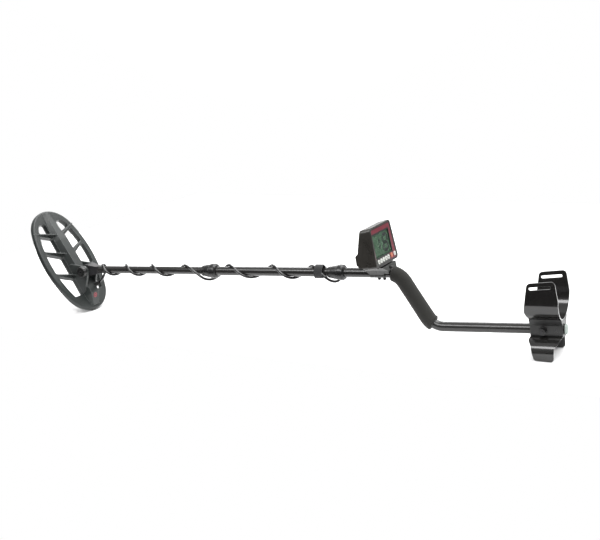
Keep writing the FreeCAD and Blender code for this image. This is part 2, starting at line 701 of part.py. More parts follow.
KEY_TRAVEL = 0.8
for number, y in enumerate(KEY_PLACES, start=1):
    key = new_body("key_%d" % number, "face")
    cap_sketch = new_sketch(key, "YZ_Plane", -6)
    draw_circle(cap_sketch, (y, "-Sizes.key_row"), "Sizes.key_radius")
    add_pad(key, cap_sketch, 7.0)
    flange_sketch = new_sketch(key, "YZ_Plane", -4.4)
    draw_circle(flange_sketch, (y, "-Sizes.key_row"), "Sizes.key_radius + 0.9")
    add_pad(key, flange_sketch, 1.4)

board = box(-9.6, -8, -50, 50, -38, 36)
board = rounded(board, 4, lambda edge: is_along(edge, V(1, 0, 0)))
parts_on_board = [box(-12.4, -9.6, -38, -10, -8, 20), box(-11.8, -9.6, 4, 22, -4, 14),
                  box(-13.6, -9.6, 28, 42, 4, 14), box(-8, -6.9, -49, 48, -35, -28.5)]
shape_node("circuit_board", "face", board.fuse(parts_on_board))

# rear shell: the same outline, cut to its side view, hollow, with a battery opening in its hump (rod frame)
REAR_SIDE = [(845, 111), (830, 110), (820, 105), (813.5, 62), (813, 56), (806.5, 49.5), (808.5, 31),
             (815, 24.5), (845, 20)]


def rear_profile(shift):
    """The rear shell's side view, pushed in from outside by a shift."""
    return [V(x + shift if x < 840 else x, 0, z - shift * (z > 100) + shift * (z < 28)) for x, z in REAR_SIDE]


def side_block(points, half_width):
    block = prism(points, V(0, 2 * half_width, 0))
    block.translate(V(0, -half_width, 0))
    return block


def rear_solid(inset, corner_radius):
    """The rear shell's outer or inner volume, in the rod frame."""
    outline = outline_block(inset + 1.0, -70, 20, corner_radius)
    outline.Placement = face_place.multiply(outline.Placement)
    return side_block(rear_profile(inset), far_side).common(outline)


rear_half = box(700, size("seam_x") - 0.05, -far_side, far_side, -50, 200)
rear = rear_solid(0, 9).common(rear_half)
rear_cavity = rear_solid(wall, 7).common(box(700, 900, -far_side, far_side, -50, 200))
rear = rear.cut(rear_cavity)
DOOR_HALF = 31
DOOR_LOW = 32.5
DOOR_HIGH = 60
door_zone = box(795, 822, -DOOR_HALF, DOOR_HALF, DOOR_LOW, DOOR_HIGH)
door_gap = 0.35
door_hole = box(790, 822, -DOOR_HALF - door_gap, DOOR_HALF + door_gap,
                DOOR_LOW - door_gap, DOOR_HIGH + door_gap)
rear = rear.cut(door_hole)
SOCKET_PLACE = V(826, 44, 0)
JACK_PLACE = V(826, -44, 0)
rear = rear.cut(rod(V(SOCKET_PLACE.x, SOCKET_PLACE.y, 0), V(SOCKET_PLACE.x, SOCKET_PLACE.y, 32), 5.6))
rear = rear.cut(rod(V(JACK_PLACE.x, JACK_PLACE.y, 0), V(JACK_PLACE.x, JACK_PLACE.y, 32), 4.6))
speaker_z = 84
for row in range(-2, 3):
    for column in range(-2, 3):
        if abs(row) + abs(column) < 4:
            hole_y = column * 5.5
            hole_z = speaker_z + row * 5.5
            rear = rear.cut(rod(V(800, hole_y, hole_z), V(826, hole_y, hole_z), 1.1))
shape_node("housing_rear", "rod", rear)

behind_door = side_block([p + V(2.2, 0, 0) for p in rear_profile(0)], far_side)
door = rear_solid(0, 9).cut(behind_door).common(door_zone)
shape_node("battery_door", "rod", door)

cells = []
contacts = []
CELL_RADIUS = 7.1
for z in (38.4, 53.4):
    cells.append(rod(V(823, -24.5, z), V(823, 24.5, z), CELL_RADIUS))
    cells[-1] = cells[-1].fuse(rod(V(823, 24.5, z), V(823, 26, z), 2.6))
    contacts.append(rod(V(823, 26.1, z), V(823, 26.7, z), 5.5))
    spring = Part.makeCone(6, 3, 3.4, V(823, -28.0, z), V(0, 1, 0))
    contacts.append(spring.cut(Part.makeCone(5.2, 2.2, 3.4, V(823, -28.0, z), V(0, 1, 0))))
shape_node("battery_cells", "rod", Part.makeCompound(cells))
shape_node("battery_contacts", "rod", Part.makeCompound(contacts))
holder = box(816.6, 831.5, -29.2, 27.6, 30.6, 61.4).cut(box(810, 830.6, -28.4, 26.8, 31.2, 60.8))
shape_node("battery_holder", "rod", holder)

speaker = Part.makeCylinder(16, 3, V(822.6, 0, speaker_z), V(1, 0, 0))
speaker = speaker.fuse(Part.makeCone(12, 7, 4, V(825.6, 0, speaker_z), V(1, 0, 0)))
shape_node("speaker", "rod", speaker)

UNDER_BOX = 19.6        # lower face of the two connectors' flanges
JACK_BORE = 3.2
JACK_DEPTH = 12
jack = Part.makeCylinder(4.5, 12, JACK_PLACE + V(0, 0, UNDER_BOX), V(0, 0, 1))
jack = jack.fuse(Part.makeCylinder(6.4, 1.6, JACK_PLACE + V(0, 0, UNDER_BOX), V(0, 0, 1)))
jack_body = box(-5.5, 5.5, -5.5, 5.5, 27.4, 36)
jack_body.translate(JACK_PLACE)
jack = jack.fuse(jack_body)
jack = jack.cut(Part.makeCylinder(JACK_BORE, JACK_DEPTH, JACK_PLACE + V(0, 0, UNDER_BOX), V(0, 0, 1)))
shape_node("headphone_jack", "rod", jack)
socket = Part.makeCylinder(5.5, 11, SOCKET_PLACE + V(0, 0, UNDER_BOX), V(0, 0, 1))
socket = socket.fuse(Part.makeCylinder(7.6, 1.8, SOCKET_PLACE + V(0, 0, UNDER_BOX), V(0, 0, 1)))
shape_node("cable_socket", "rod", socket)

# coil cable plug under the box: a knurled nut and a tapered sleeve
NUT_LENGTH = 8
SLEEVE_LENGTH = 6.5
plug_top = UNDER_BOX - 0.2
plug_low = plug_top - NUT_LENGTH - SLEEVE_LENGTH
plug = Part.makeCylinder(7.0, NUT_LENGTH, SOCKET_PLACE + V(0, 0, plug_low + SLEEVE_LENGTH), V(0, 0, 1))
for k in range(16):
    around = FreeCAD.Rotation(V(0, 0, 1), 22.5 * k).multVec(V(7.3, 0, 0))
    plug = plug.cut(Part.makeCylinder(0.6, 12, SOCKET_PLACE + around + V(0, 0, plug_low + 5), V(0, 0, 1)))
plug = plug.fuse(Part.makeCone(4.2, 6.2, SLEEVE_LENGTH, SOCKET_PLACE + V(0, 0, plug_low), V(0, 0, 1)))
shape_node("cable_plug", "rod", plug)

# bracket of the box: a clamp over the tube, a tongue in front of it and a neck that widens to the box
clamp = Part.makeCylinder(15, 50, V(817, 0, 0), V(1, 0, 0)).common(box(810, 870, -20, 20, -8.5, 20))
tongue = Part.makeCylinder(14, 32, V(789, 0, 0), V(1, 0, 0)).common(box(780, 870, -7.5, 7.5, 0, 20))


def level_rectangle(x0, x1, half_width, z):
    return Part.makePolygon([V(x0, -half_width, z), V(x1, -half_width, z), V(x1, half_width, z),
                             V(x0, half_width, z), V(x0, -half_width, z)])


neck = Part.makeLoft([level_rectangle(819, 864, 13.2, -3.4), level_rectangle(812, 867, 24, 10),
                      level_rectangle(809, 860, 36, 19.4)], True, True)
bracket = clamp.fuse([tongue, neck])
bracket = bracket.cut(Part.makeCylinder(size("tube_radius") + 0.04, 100, V(778, 0, 0), V(1, 0, 0)))
first_bend_keep = tube_on(part_of_path(tube_path, first_straight - 5, grip_end), size("grip_radius") + 0.5)
bracket = bracket.cut(first_bend_keep)
for x in BOX_BOLTS:
    bracket = bracket.cut(rod(V(x, 0, 0), V(x, 0, 30), 2.55)).cut(rod(V(x, 0, 11.15), V(x, 0, 30), 4.5))
front_keep = outline_block(-0.1, -60, 0.3, 9)
front_keep.Placement = face_place
front_keep = front_keep.common(box(size("seam_x") - 1, 900, -90, 90, -50, 200))
bracket = bracket.cut(rear_solid(-0.1, 9)).cut(front_keep)
shape_node("box_bracket", "rod", bracket)

bolts = []
nuts = []
for x in BOX_BOLTS:
    bolts.append(rod(V(x, 0, -16.4), V(x, 0, 13.2), 2.5).fuse(rod(V(x, 0, 11.2), V(x, 0, 14.4), 4.4)))
    hexagon = [V(x + 4 * math.cos(angle), 4 * math.sin(angle), -15.2) for angle in sixths]
    nuts.append(prism(hexagon, V(0, 0, 4)).cut(rod(V(x, 0, -20), V(x, 0, 0), 2.55)))
shape_node("bracket_nuts", "rod", Part.makeCompound(nuts))

# ================================================================ arm cuff and stand (rod frame)
half = size("cuff_half_width")
sheet_t = size("sheet_thickness")
cuff_centre_z = -size("cuff_bottom") + half


def u_face(radius, top):
    """A U in the YZ plane: half a circle below, straight sides above."""
    left = V(0, -radius, cuff_centre_z)
    right = V(0, radius, cuff_centre_z)
    edges = [Part.Arc(left, V(0, 0, cuff_centre_z - radius), right).toShape()]
    for start, end in ((right, V(0, radius, top)), (V(0, radius, top), V(0, -radius, top)),
                       (V(0, -radius, top), left)):
        edges.append(Part.LineSegment(start, end).toShape())
    return Part.Face(Part.Wire(edges))


cuff_top_z = -size("cuff_top")
cuff_sheet = u_face(half, cuff_top_z + 10).cut(u_face(half - sheet_t, cuff_top_z + 20))
cuff_sheet.translate(V(1150, 0, 0))
cuff = cuff_sheet.extrude(V(110, 0, 0))
cuff_front = size("cuff_front")
cuff_rear = size("cuff_rear")
CUFF_SLOPE = math.tan(math.radians(5.1))      # the cuff's top edge and its slots rise to the rear
top_middle_x = 1205


def top_edge(x):
    """A point of the cuff's sloping top edge."""
    return V(x, 0, cuff_top_z + (x - top_middle_x) * CUFF_SLOPE)


cuff_side = [V(1174, 0, -100), V(cuff_front, 0, -70), top_edge(1178.5), top_edge(1235),
             V(cuff_rear, 0, -45), V(1237, 0, -100)]
cuff_plan = side_block(cuff_side, 60)
cuff_plan = rounded(cuff_plan, 9, lambda edge: is_along(edge, V(0, 1, 0)) and edge.BoundBox.ZMin > -20)
cuff = cuff.common(cuff_plan)
slot_half = size("slot_width") / 2
slot_centre = top_edge(1204.4) - V(0, 0, 11.5)
slot_reach = size("slot_length") / 2 - slot_half
slot_cutter = box(-slot_reach, slot_reach, -70, 70, -slot_half, slot_half)
for end in (-slot_reach, slot_reach):
    slot_cutter = slot_cutter.fuse(rod(V(end, -70, 0), V(end, 70, 0), slot_half))
slot_turn = FreeCAD.Rotation(V(0, 1, 0), -math.degrees(math.atan(CUFF_SLOPE)))
slot_cutter.Placement = FreeCAD.Placement(slot_centre, slot_turn)
cuff = cuff.cut(slot_cutter)
rivet_x = (size("saddle_front") + 10, size("saddle_rear") - 12)
for x in rivet_x:
    cuff = cuff.cut(rod(V(x, 0, -110), V(x, 0, -80), 2.1))
shape_node("arm_cuff", "rod", cuff)

tube_z = cuff_axis.z
saddle_low = tube_z - 12.1
saddle_points = [(-24, -89), (24, -89), (17, -104), (16.4, saddle_low), (-16.4, saddle_low), (-17, -104)]
saddle_block = prism([V(size("saddle_front"), y, z) for y, z in saddle_points],
                     V(size("saddle_rear") - size("saddle_front"), 0, 0))
cuff_hollow = u_face(half + 0.03, 0)
cuff_hollow.translate(V(1150, 0, 0))
saddle_block = saddle_block.cut(cuff_hollow.extrude(V(110, 0, 0)))
tube_clear = rod(on_rear_tube(1140), on_rear_tube(1250), size("tube_radius") + 0.04)
saddle_block = saddle_block.cut(tube_clear)
saddle_block = saddle_block.cut(rod(cuff_axis - V(0, 40, 0), cuff_axis + V(0, 40, 0), 3.05))
boss = rod(cuff_axis - V(0, 20.4, 0), cuff_axis + V(0, 20.4, 0), 9).cut(tube_clear)
boss = boss.cut(rod(cuff_axis - V(0, 40, 0), cuff_axis + V(0, 40, 0), 3.05))
saddle_block = saddle_block.fuse(boss)
for x in rivet_x:
    saddle_block = saddle_block.cut(rod(V(x, 0, -99.5), V(x, 0, -80), 2.1))
shape_node("cuff_saddle", "rod", saddle_block)
rivets = []
for x in rivet_x:
    rivet_head = Part.makeCone(4.4, 3.2, 1.4, V(x, 0, -91.55), V(0, 0, 1))
    rivets.append(rod(V(x, 0, -99.4), V(x, 0, -91.5), 2.0).fuse(rivet_head))
shape_node("cuff_rivets", "rod", Part.makeCompound(rivets))


def stand_face(half_width, top_z, low_z, corner):
    """An upside-down U in the YZ plane with large round shoulders."""
    inner = half_width - corner
    shoulder = corner * math.sin(math.radians(45))
    edges = []
    points = [V(0, -half_width, low_z), V(0, -half_width, top_z - corner), V(0, -inner, top_z),
              V(0, inner, top_z), V(0, half_width, top_z - corner), V(0, half_width, low_z)]
    edges.append(Part.LineSegment(points[0], points[1]).toShape())
    edges.append(Part.Arc(points[1], V(0, -inner - shoulder, top_z - corner + shoulder), points[2]).toShape())
    edges.append(Part.LineSegment(points[2], points[3]).toShape())
    edges.append(Part.Arc(points[3], V(0, inner + shoulder, top_z - corner + shoulder), points[4]).toShape())
    edges.append(Part.LineSegment(points[4], points[5]).toShape())
    edges.append(Part.LineSegment(points[5], points[0]).toShape())
    return Part.Face(Part.Wire(edges))


stand_top = saddle_low - 0.05
foot_half = size("foot_half_width")
stand_sheet = stand_face(foot_half, stand_top, -200, 30).cut(
    stand_face(foot_half - sheet_t, stand_top - sheet_t, -201, 30 - sheet_t))
stand_sheet.translate(V(1150, 0, 0))
stand = stand_sheet.extrude(V(110, 0, 0))
stand_side = [V(1170.5, 0, -118), V(1171, 0, -131), V(1177.5, 0, -140), V(1189, 0, -190), V(1224, 0, -190),
              V(1226, 0, -146), V(1238, 0, -127), V(1238, 0, -118)]
stand = stand.common(side_block(stand_side, 60))
stand_lip = box(1171, 1176, -9, 9, stand_top - sheet_t - 4.5, stand_top - sheet_t + 0.5)
STAND_SCREWS = [(x, y) for x in (1182, 1229) for y in (-13.8, 13.8)]
stand_screws = []
for x, y in STAND_SCREWS:
    stand = stand.cut(rod(V(x, y, -200), V(x, y, -100), 1.6))
    screw_hole = rod(V(x, y, -150), V(x, y, saddle_low + 9), 1.55)
    nodes["cuff_saddle"].Shape = nodes["cuff_saddle"].Shape.cut(screw_hole)
    shank = rod(V(x, y, stand_top - sheet_t - 0.5), V(x, y, saddle_low + 8.5), 1.5)
    head = Part.makeCone(2.2, 3.0, 1.6, V(x, y, stand_top - sheet_t - 1.65), V(0, 0, 1))
    stand_screws.append(shank.fuse(head))
shape_node("stand_screws", "rod", Part.makeCompound(stand_screws))

# ================================================================ coil cable (rod frame)
# Where the cable passes over the top of the rods and under them, in turn, from the coil to the box.
CROSSINGS = [48, 87, 127, 168, 210, 256, 311, 382, 442, 505, 563, 617, 668, 724, 762]
STEPS_PER_HALF = 6
STEP_ANGLE = math.pi / STEPS_PER_HALF


def winding_radius(x):
    """Distance of the cable's axis from the rods' axis: close to the tubes, further out over the collars."""
    clear = 0.35
    on_lower = size("lower_radius") + size("cable_radius") + clear
    on_middle = size("tube_radius") + size("cable_radius") + clear
    on_collar = size("collar_rim_radius") + size("cable_radius") + 0.7
    base = on_lower if x < 350 else on_middle
    for nose in (size("lower_collar_nose"), size("upper_collar_nose")):
        reach = abs(x - nose - 25)
        if reach < 33:
            return base + (on_collar - base) * min(1.0, (33 - reach) / 19)
    return base


def helix_points(first_step, last_step):
    """Points of the winding, counted in steps from the first crossing over the top, just clear of the tubes."""
    found = []
    for index in range(first_step, last_step + 1):
        half_turn, step = divmod(max(index, 0), STEPS_PER_HALF)
        start = CROSSINGS[half_turn]
        end = CROSSINGS[min(half_turn + 1, len(CROSSINGS) - 1)]
        x = start + (end - start) * step / STEPS_PER_HALF
        radius = winding_radius(x) / math.cos(STEP_ANGLE / 2)
        angle = STEP_ANGLE * index
        found.append(V(x, -radius * math.sin(angle), radius * math.cos(angle)))
    return found


coil_rotation = FreeCAD.Rotation(V(0, 1, 0), size("coil_tilt"))
coil_place = FreeCAD.Placement(-coil_rotation.multVec(pivot), coil_rotation)
gland_turn = FreeCAD.Rotation(V(1, 0, 0), gland_axis)
gland_place = coil_place.multiply(FreeCAD.Placement(GLAND_PLACE, gland_turn))
gland_mouth = gland_place.multVec(V(8, 0, 0))
gland_way = gland_place.Rotation.multVec(V(1, 0, 0))

SPLIT_STEP = 6 * STEPS_PER_HALF         # the winding leaves the lower rod after this step
LAST_STEP = 27 * STEPS_PER_HALF // 2    # and ends on the far side, past the upper collar
lower_helix = helix_points(-2, SPLIT_STEP)
upper_helix = helix_points(SPLIT_STEP + 1, LAST_STEP)
lead_points = [gland_mouth, gland_mouth + gland_way * 22, V(36, 19.5, -13), V(45.5, 18, -1)]
tail_points = [V(763, 20.5, -2), V(784, 20.5, -6), V(801, 26, -13), V(815, 34, -19), V(824, 42, -14),
               V(826.3, 44.3, -3), V(SOCKET_PLACE.x, SOCKET_PLACE.y, plug_low - 0.05)]
whole = lead_points + lower_helix + upper_helix + tail_points
whole_radii = cord_radii(whole)
cable_path = bent_path(whole, whole_radii)
print("cable length %.0f mm, tightest bend %.1f mm" % (cable_path.Length, min(whole_radii)))


def path_between(first_point, last_point):
    """The whole route's runs and arcs between two of its points, ending half way along their runs."""
    run_middles = [(a + b) / 2 for a, b in zip(whole, whole[1:])]
    start_point = whole[0] if first_point == 0 else run_middles[first_point - 1]
    end_point = whole[-1] if last_point == len(whole) - 1 else run_middles[last_point]
    inner = whole[first_point:last_point + 1] if first_point else whole[1:last_point + 1]
    if last_point == len(whole) - 1:
        inner = inner[:-1]
    points = [start_point] + inner + [end_point]
    first_radius = max(first_point, 1) - 1
    return bent_path(points, whole_radii[first_radius:first_radius + len(inner)])


lead_last = len(lead_points) + 1
lower_last = lead_last + SPLIT_STEP
stretches = {"coil_lead": (0, lead_last), "lower_rod_cable": (lead_last + 1, lower_last),
             "upper_cable": (lower_last + 1, len(whole) - 1)}
for name, (first_point, last_point) in stretches.items():
    path = path_between(first_point, last_point)
    solid = tube_on(path, size("cable_radius"))
    expected = math.pi * size("cable_radius") ** 2 * path.Length
    print("%s: %.1f mm long, volume %.4f of section x length" % (name, path.Length, solid.Volume / expected))
    shape_node(name, "rod", solid)

# hook-and-loop tie that holds the cable to the middle tube
tie_x0 = 679
tie_x1 = 699
TIE_SPAN = (10, 122)        # degrees round the tube from its top, over which the tie bulges over the cable
TIE_RUN = 44                # degrees over which it comes back down to the tube


def round_tube(x, radius, degrees):
    angle = math.radians(degrees)
    return V(x, -radius * math.sin(angle), radius * math.cos(angle))


def tie_face(x, over_tube, over_cable):
    """The tie's outline: an arc over the cable, an arc round the tube and two straight flanks."""
    low, high = TIE_SPAN
    bulge = [round_tube(x, over_cable, low), round_tube(x, over_cable, (low + high) / 2),
             round_tube(x, over_cable, high)]
    far = (high + TIE_RUN, (low + high) / 2 + 180, low - TIE_RUN + 360)
    back = [round_tube(x, over_tube, degrees) for degrees in far]
    edges = [Part.Arc(*bulge).toShape(), Part.LineSegment(bulge[2], back[0]).toShape(),
             Part.Arc(*back).toShape(), Part.LineSegment(back[2], bulge[0]).toShape()]
    return Part.Face(Part.Wire(edges))


tie_bore = winding_radius(tie_x0) + size("cable_radius") + 0.2
tie = tie_face(tie_x0, size("tube_radius") + 1.8, tie_bore + 1.7).cut(
    tie_face(tie_x0, size("tube_radius") + 0.05, tie_bore))
shape_node("cable_tie", "rod", tie.extrude(V(tie_x1 - tie_x0, 0, 0)))

# ================================================================ bolts of the box and the cuff
shape_node("bracket_bolts", "rod", Part.makeCompound(bolts))
bolt_y = 20.6
cuff_bolt = rod(cuff_axis - V(0, bolt_y + 6.5, 0), cuff_axis + V(0, bolt_y, 0), 3.0)
cuff_bolt = cuff_bolt.fuse(rod(cuff_axis + V(0, bolt_y, 0), cuff_axis + V(0, bolt_y + 3.2, 0), 7.0))
shape_node("cuff_bolt", "rod", cuff_bolt)
cuff_nut = rod(cuff_axis - V(0, bolt_y + 5.2, 0), cuff_axis - V(0, bolt_y, 0), 7.2)
cuff_nut = cuff_nut.cut(rod(cuff_axis - V(0, 40, 0), cuff_axis, 3.05))
shape_node("cuff_nut", "rod", cuff_nut)

# ================================================================ stance: the coil and both feet on the floor
doc.recompute()
rise = FreeCAD.Rotation(V(0, 1, 0), -size("rod_rise"))
level = FreeCAD.Placement(V(0, 0, 0), rise)


def box_after(place, shape):
    moved = shape.copy()
    moved.Placement = place.multiply(moved.Placement)
    return moved.optimalBoundingBox(False, False)


floor_drop = -box_after(level.multiply(coil_place), cover).ZMin
floor_under = Part.makeBox(600, 400, 100, V(900, -200, -100 - floor_drop))
floor_under.Placement = level.inverse()
stand = stand.fuse(stand_lip).cut(floor_under)
stand = rounded(stand, 7, lambda edge: is_along(edge, V(0, 1, 0)) and edge.BoundBox.ZMax < -150)
shape_node("stand", "rod", stand.removeSplitter())
doc.recompute()

toe_x = box_after(level.multiply(coil_place), cover).XMin
rear_x = max(box_after(level, nodes[name].Shape).XMax for name in ("arm_cuff", "tube_end_cap", "cuff_saddle"))
stance = FreeCAD.Placement(V(-(toe_x + rear_x) / 2, 0, floor_drop), rise)
frames = {"rod": stance, "coil": stance.multiply(coil_place), "gland": stance.multiply(gland_place),
          "pivot": stance, "face": stance.multiply(face_place)}
for name, obj in nodes.items():
    obj.Placement = frames[frame_of[name]].multiply(own_place[name])
doc.recompute()

# ================================================================ checks and export
for obj in doc.Objects:
    if "Invalid" in obj.State or "Error" in obj.State:
        raise RuntimeError("%s did not build: %s" % (obj.Label, obj.State))
os.makedirs(PARTS_DIR, exist_ok=True)
for name, obj in nodes.items():
    shape = obj.Shape
    if shape.isNull() or not shape.isValid() or shape.Volume <= 0:
        raise RuntimeError("%s has no valid solid" % name)
    shape.exportStep(os.path.join(PARTS_DIR, name + ".step"))
print(len(nodes), "sub-parts")
for name in ("rod", "coil", "face"):
    print(name, "frame", frames[name])
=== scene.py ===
import json
import math
import bmesh
import bpy
from mathutils import Matrix, Vector


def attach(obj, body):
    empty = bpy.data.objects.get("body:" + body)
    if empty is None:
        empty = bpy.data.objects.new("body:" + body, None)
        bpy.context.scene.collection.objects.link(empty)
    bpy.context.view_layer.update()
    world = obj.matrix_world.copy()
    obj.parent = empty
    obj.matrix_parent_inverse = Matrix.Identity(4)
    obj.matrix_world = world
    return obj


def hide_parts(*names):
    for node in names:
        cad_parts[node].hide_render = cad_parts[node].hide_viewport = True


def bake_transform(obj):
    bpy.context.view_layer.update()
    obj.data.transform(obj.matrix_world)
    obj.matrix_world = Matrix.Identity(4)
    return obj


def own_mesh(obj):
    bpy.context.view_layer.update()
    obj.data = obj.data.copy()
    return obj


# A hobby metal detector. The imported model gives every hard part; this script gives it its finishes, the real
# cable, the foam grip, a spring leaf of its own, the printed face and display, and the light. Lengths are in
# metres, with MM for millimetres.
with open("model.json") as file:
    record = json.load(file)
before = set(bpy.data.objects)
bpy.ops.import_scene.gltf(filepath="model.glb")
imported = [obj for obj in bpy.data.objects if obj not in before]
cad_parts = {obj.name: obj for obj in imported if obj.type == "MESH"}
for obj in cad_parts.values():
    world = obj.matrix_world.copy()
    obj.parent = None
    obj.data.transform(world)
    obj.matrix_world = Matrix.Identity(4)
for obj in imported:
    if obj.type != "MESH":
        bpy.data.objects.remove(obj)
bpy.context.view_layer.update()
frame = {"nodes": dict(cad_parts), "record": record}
nodes = frame["nodes"]
joints = {joint["name"]: joint for joint in frame["record"]["behaviour"]["joints"]}
MM = 0.001
SIDE = Vector((0, 1, 0))


# ---------------------------------------------------------------- the part's own frames
def frame_at(x_axis, origin):
    """A frame with its X along x_axis and its Y across the object."""
    matrix = Matrix((x_axis, SIDE, x_axis.cross(SIDE))).transposed().to_4x4()
    matrix.translation = origin
    return matrix


def point(place, x, y, z):
    """A point given in millimetres in one of the frames."""
    return place @ Vector((x * MM, y * MM, z * MM))


FACE_MIDDLE = (851.9, 0, 66.55)         # in the rods' frame
COIL_TILT = 63.14                       # the coil's face below the rods' line, degrees
PIVOT_IN_COIL = Vector((49.7 * MM, 0, 37.9 * MM))
ROD = frame_at(Vector(joints["rod_slide"]["axis"]), Vector(joints["coil_tilt"]["pos_m"]))
FACE = frame_at(-Vector(joints["key_1_press"]["axis"]), point(ROD, *FACE_MIDDLE))
COIL_TURN = Matrix.Rotation(math.radians(COIL_TILT), 4, "Y")
COIL = ROD @ COIL_TURN @ Matrix.Translation(-PIVOT_IN_COIL)


# ---------------------------------------------------------------- materials
def new_material(name):
    """A material with one Principled shader and its output."""
    made = bpy.data.materials.new(name)
    made.use_nodes = True
    tree = made.node_tree
    tree.nodes.clear()
    shader = tree.nodes.new("ShaderNodeBsdfPrincipled")
    output = tree.nodes.new("ShaderNodeOutputMaterial")
    tree.links.new(shader.outputs["BSDF"], output.inputs["Surface"])
    return made, tree, shader


def noise(tree, size_mm, stretch=(1, 1, 1), detail=3.0, cells=False):
    """A noise or cell pattern of a given size, in the object's own space."""
    coordinates = tree.nodes.new("ShaderNodeTexCoord")
    mapping = tree.nodes.new("ShaderNodeMapping")
    mapping.inputs["Scale"].default_value = stretch
    kind = "ShaderNodeTexVoronoi" if cells else "ShaderNodeTexNoise"
    pattern = tree.nodes.new(kind)
    pattern.inputs["Scale"].default_value = 1.0 / (size_mm * MM)
    if not cells:
        pattern.inputs["Detail"].default_value = detail
    tree.links.new(coordinates.outputs["Object"], mapping.inputs["Vector"])
    tree.links.new(mapping.outputs["Vector"], pattern.inputs["Vector"])
    return pattern.outputs["Distance" if cells else "Fac"]


def ramp(tree, value, low, high, low_at=0.3, high_at=0.7):
    """Runs from one colour to another as the value runs between two marks."""
    made = tree.nodes.new("ShaderNodeValToRGB")
    made.color_ramp.elements[0].position = low_at
    made.color_ramp.elements[1].position = high_at
    made.color_ramp.elements[0].color = (*low, 1)
    made.color_ramp.elements[1].color = (*high, 1)
    tree.links.new(value, made.inputs["Fac"])
    return made.outputs["Color"]


def spread(tree, value, low, high):
    """Maps a pattern's middle range onto low to high."""
    made = tree.nodes.new("ShaderNodeMapRange")
    made.inputs["From Min"].default_value = 0.3
    made.inputs["From Max"].default_value = 0.7
    made.inputs["To Min"].default_value = low
    made.inputs["To Max"].default_value = high
    tree.links.new(value, made.inputs["Value"])
    return made.outputs["Result"]


def blend_colours(tree, factor, under, over):
    """Lays one colour over another where the factor is one."""
    made = tree.nodes.new("ShaderNodeMix")
    made.data_type = "RGBA"
    colours = [socket for socket in made.inputs if socket.type == "RGBA"]
    tree.links.new(factor, made.inputs["Factor"])
    tree.links.new(under, colours[0])
    colours[1].default_value = (*over, 1)
    return [socket for socket in made.outputs if socket.type == "RGBA"][0]


EDGE_STARTS = 0.995     # cosine between the true and the softened normal
EDGE_FULL = 0.75


# The lighter edge colour laid with this mask is part rubbed wear and part painted highlight.
def wear_and_highlight_edge_mask(tree, width_mm, strength):
    """One on sharp edges and nothing on flat faces, and the softened normal that comes with it."""
    soft = tree.nodes.new("ShaderNodeBevel")
    soft.samples = 4
    soft.inputs["Radius"].default_value = width_mm * MM
    geometry = tree.nodes.new("ShaderNodeNewGeometry")
    dot = tree.nodes.new("ShaderNodeVectorMath")
    dot.operation = "DOT_PRODUCT"
    tree.links.new(soft.outputs["Normal"], dot.inputs[0])
    tree.links.new(geometry.outputs["Normal"], dot.inputs[1])
    away = tree.nodes.new("ShaderNodeMapRange")
    away.inputs["From Min"].default_value = EDGE_STARTS
    away.inputs["From Max"].default_value = EDGE_FULL
    away.inputs["To Max"].default_value = strength
    tree.links.new(dot.outputs["Value"], away.inputs["Value"])
    return away.outputs["Result"], soft.outputs["Normal"]


def cut_edge_mask(tree, along):
    """One on faces that look along a direction, such as the sawn edges of a sheet, and nothing elsewhere."""
    geometry = tree.nodes.new("ShaderNodeNewGeometry")
    dot = tree.nodes.new("ShaderNodeVectorMath")
    dot.operation = "DOT_PRODUCT"
    dot.inputs[1].default_value = along
    tree.links.new(geometry.outputs["True Normal"], dot.inputs[0])
    size = tree.nodes.new("ShaderNodeMath")
    size.operation = "ABSOLUTE"
    tree.links.new(dot.outputs["Value"], size.inputs[0])
    made = tree.nodes.new("ShaderNodeMapRange")
    made.inputs["From Min"].default_value = 0.75
    made.inputs["From Max"].default_value = 0.95
    tree.links.new(size.outputs["Value"], made.inputs["Value"])
    return made.outputs["Result"]


def scaled(colour, factor):
    """A colour made lighter or darker, kept within one."""
    return tuple(min(1.0, channel * factor) for channel in colour)


SAWN_EDGE = (0.27, 0.275, 0.27)


def surface(name, colour, roughness, vary=0.18, patch_mm=30, grain_mm=0.6, grain_height_mm=0.03, edge_wear_and_highlight=None,
            edge_mm=0.6, edge_strength=0.5, stretch=(1, 1, 1), cells=False, metallic=0.0, coat=0.0, sheen=0.0,
            alpha=1.0, cut_along=None):
    """A slightly uneven surface: patches of tone, fine grain, and lighter edges that are part rubbed wear and
    part painted highlight.
    """
    made, tree, shader = new_material(name)
    patches = noise(tree, patch_mm, stretch)
    tone = ramp(tree, patches, scaled(colour, 1 - vary), scaled(colour, 1 + vary))
    grain = noise(tree, grain_mm, stretch, 2.0, cells)
    bump = tree.nodes.new("ShaderNodeBump")
    bump.inputs["Distance"].default_value = grain_height_mm * MM
    bump.inputs["Strength"].default_value = 0.8
    tree.links.new(grain, bump.inputs["Height"])
    # lighter edges: part rubbed wear, part painted highlight
    if edge_wear_and_highlight:
        mask, soft_normal = wear_and_highlight_edge_mask(tree, edge_mm, edge_strength)
        tone = blend_colours(tree, mask, tone, edge_wear_and_highlight)
        tree.links.new(soft_normal, bump.inputs["Normal"])
    if cut_along:
        tone = blend_colours(tree, cut_edge_mask(tree, cut_along), tone, SAWN_EDGE)
    tree.links.new(tone, shader.inputs["Base Color"])
    tree.links.new(spread(tree, patches, roughness - 0.05, roughness + 0.05), shader.inputs["Roughness"])
    tree.links.new(bump.outputs["Normal"], shader.inputs["Normal"])
    shader.inputs["Metallic"].default_value = metallic
    shader.inputs["Coat Weight"].default_value = coat
    shader.inputs["Coat Roughness"].default_value = 0.12
    shader.inputs["Sheen Weight"].default_value = sheen
    shader.inputs["Alpha"].default_value = alpha
    return made


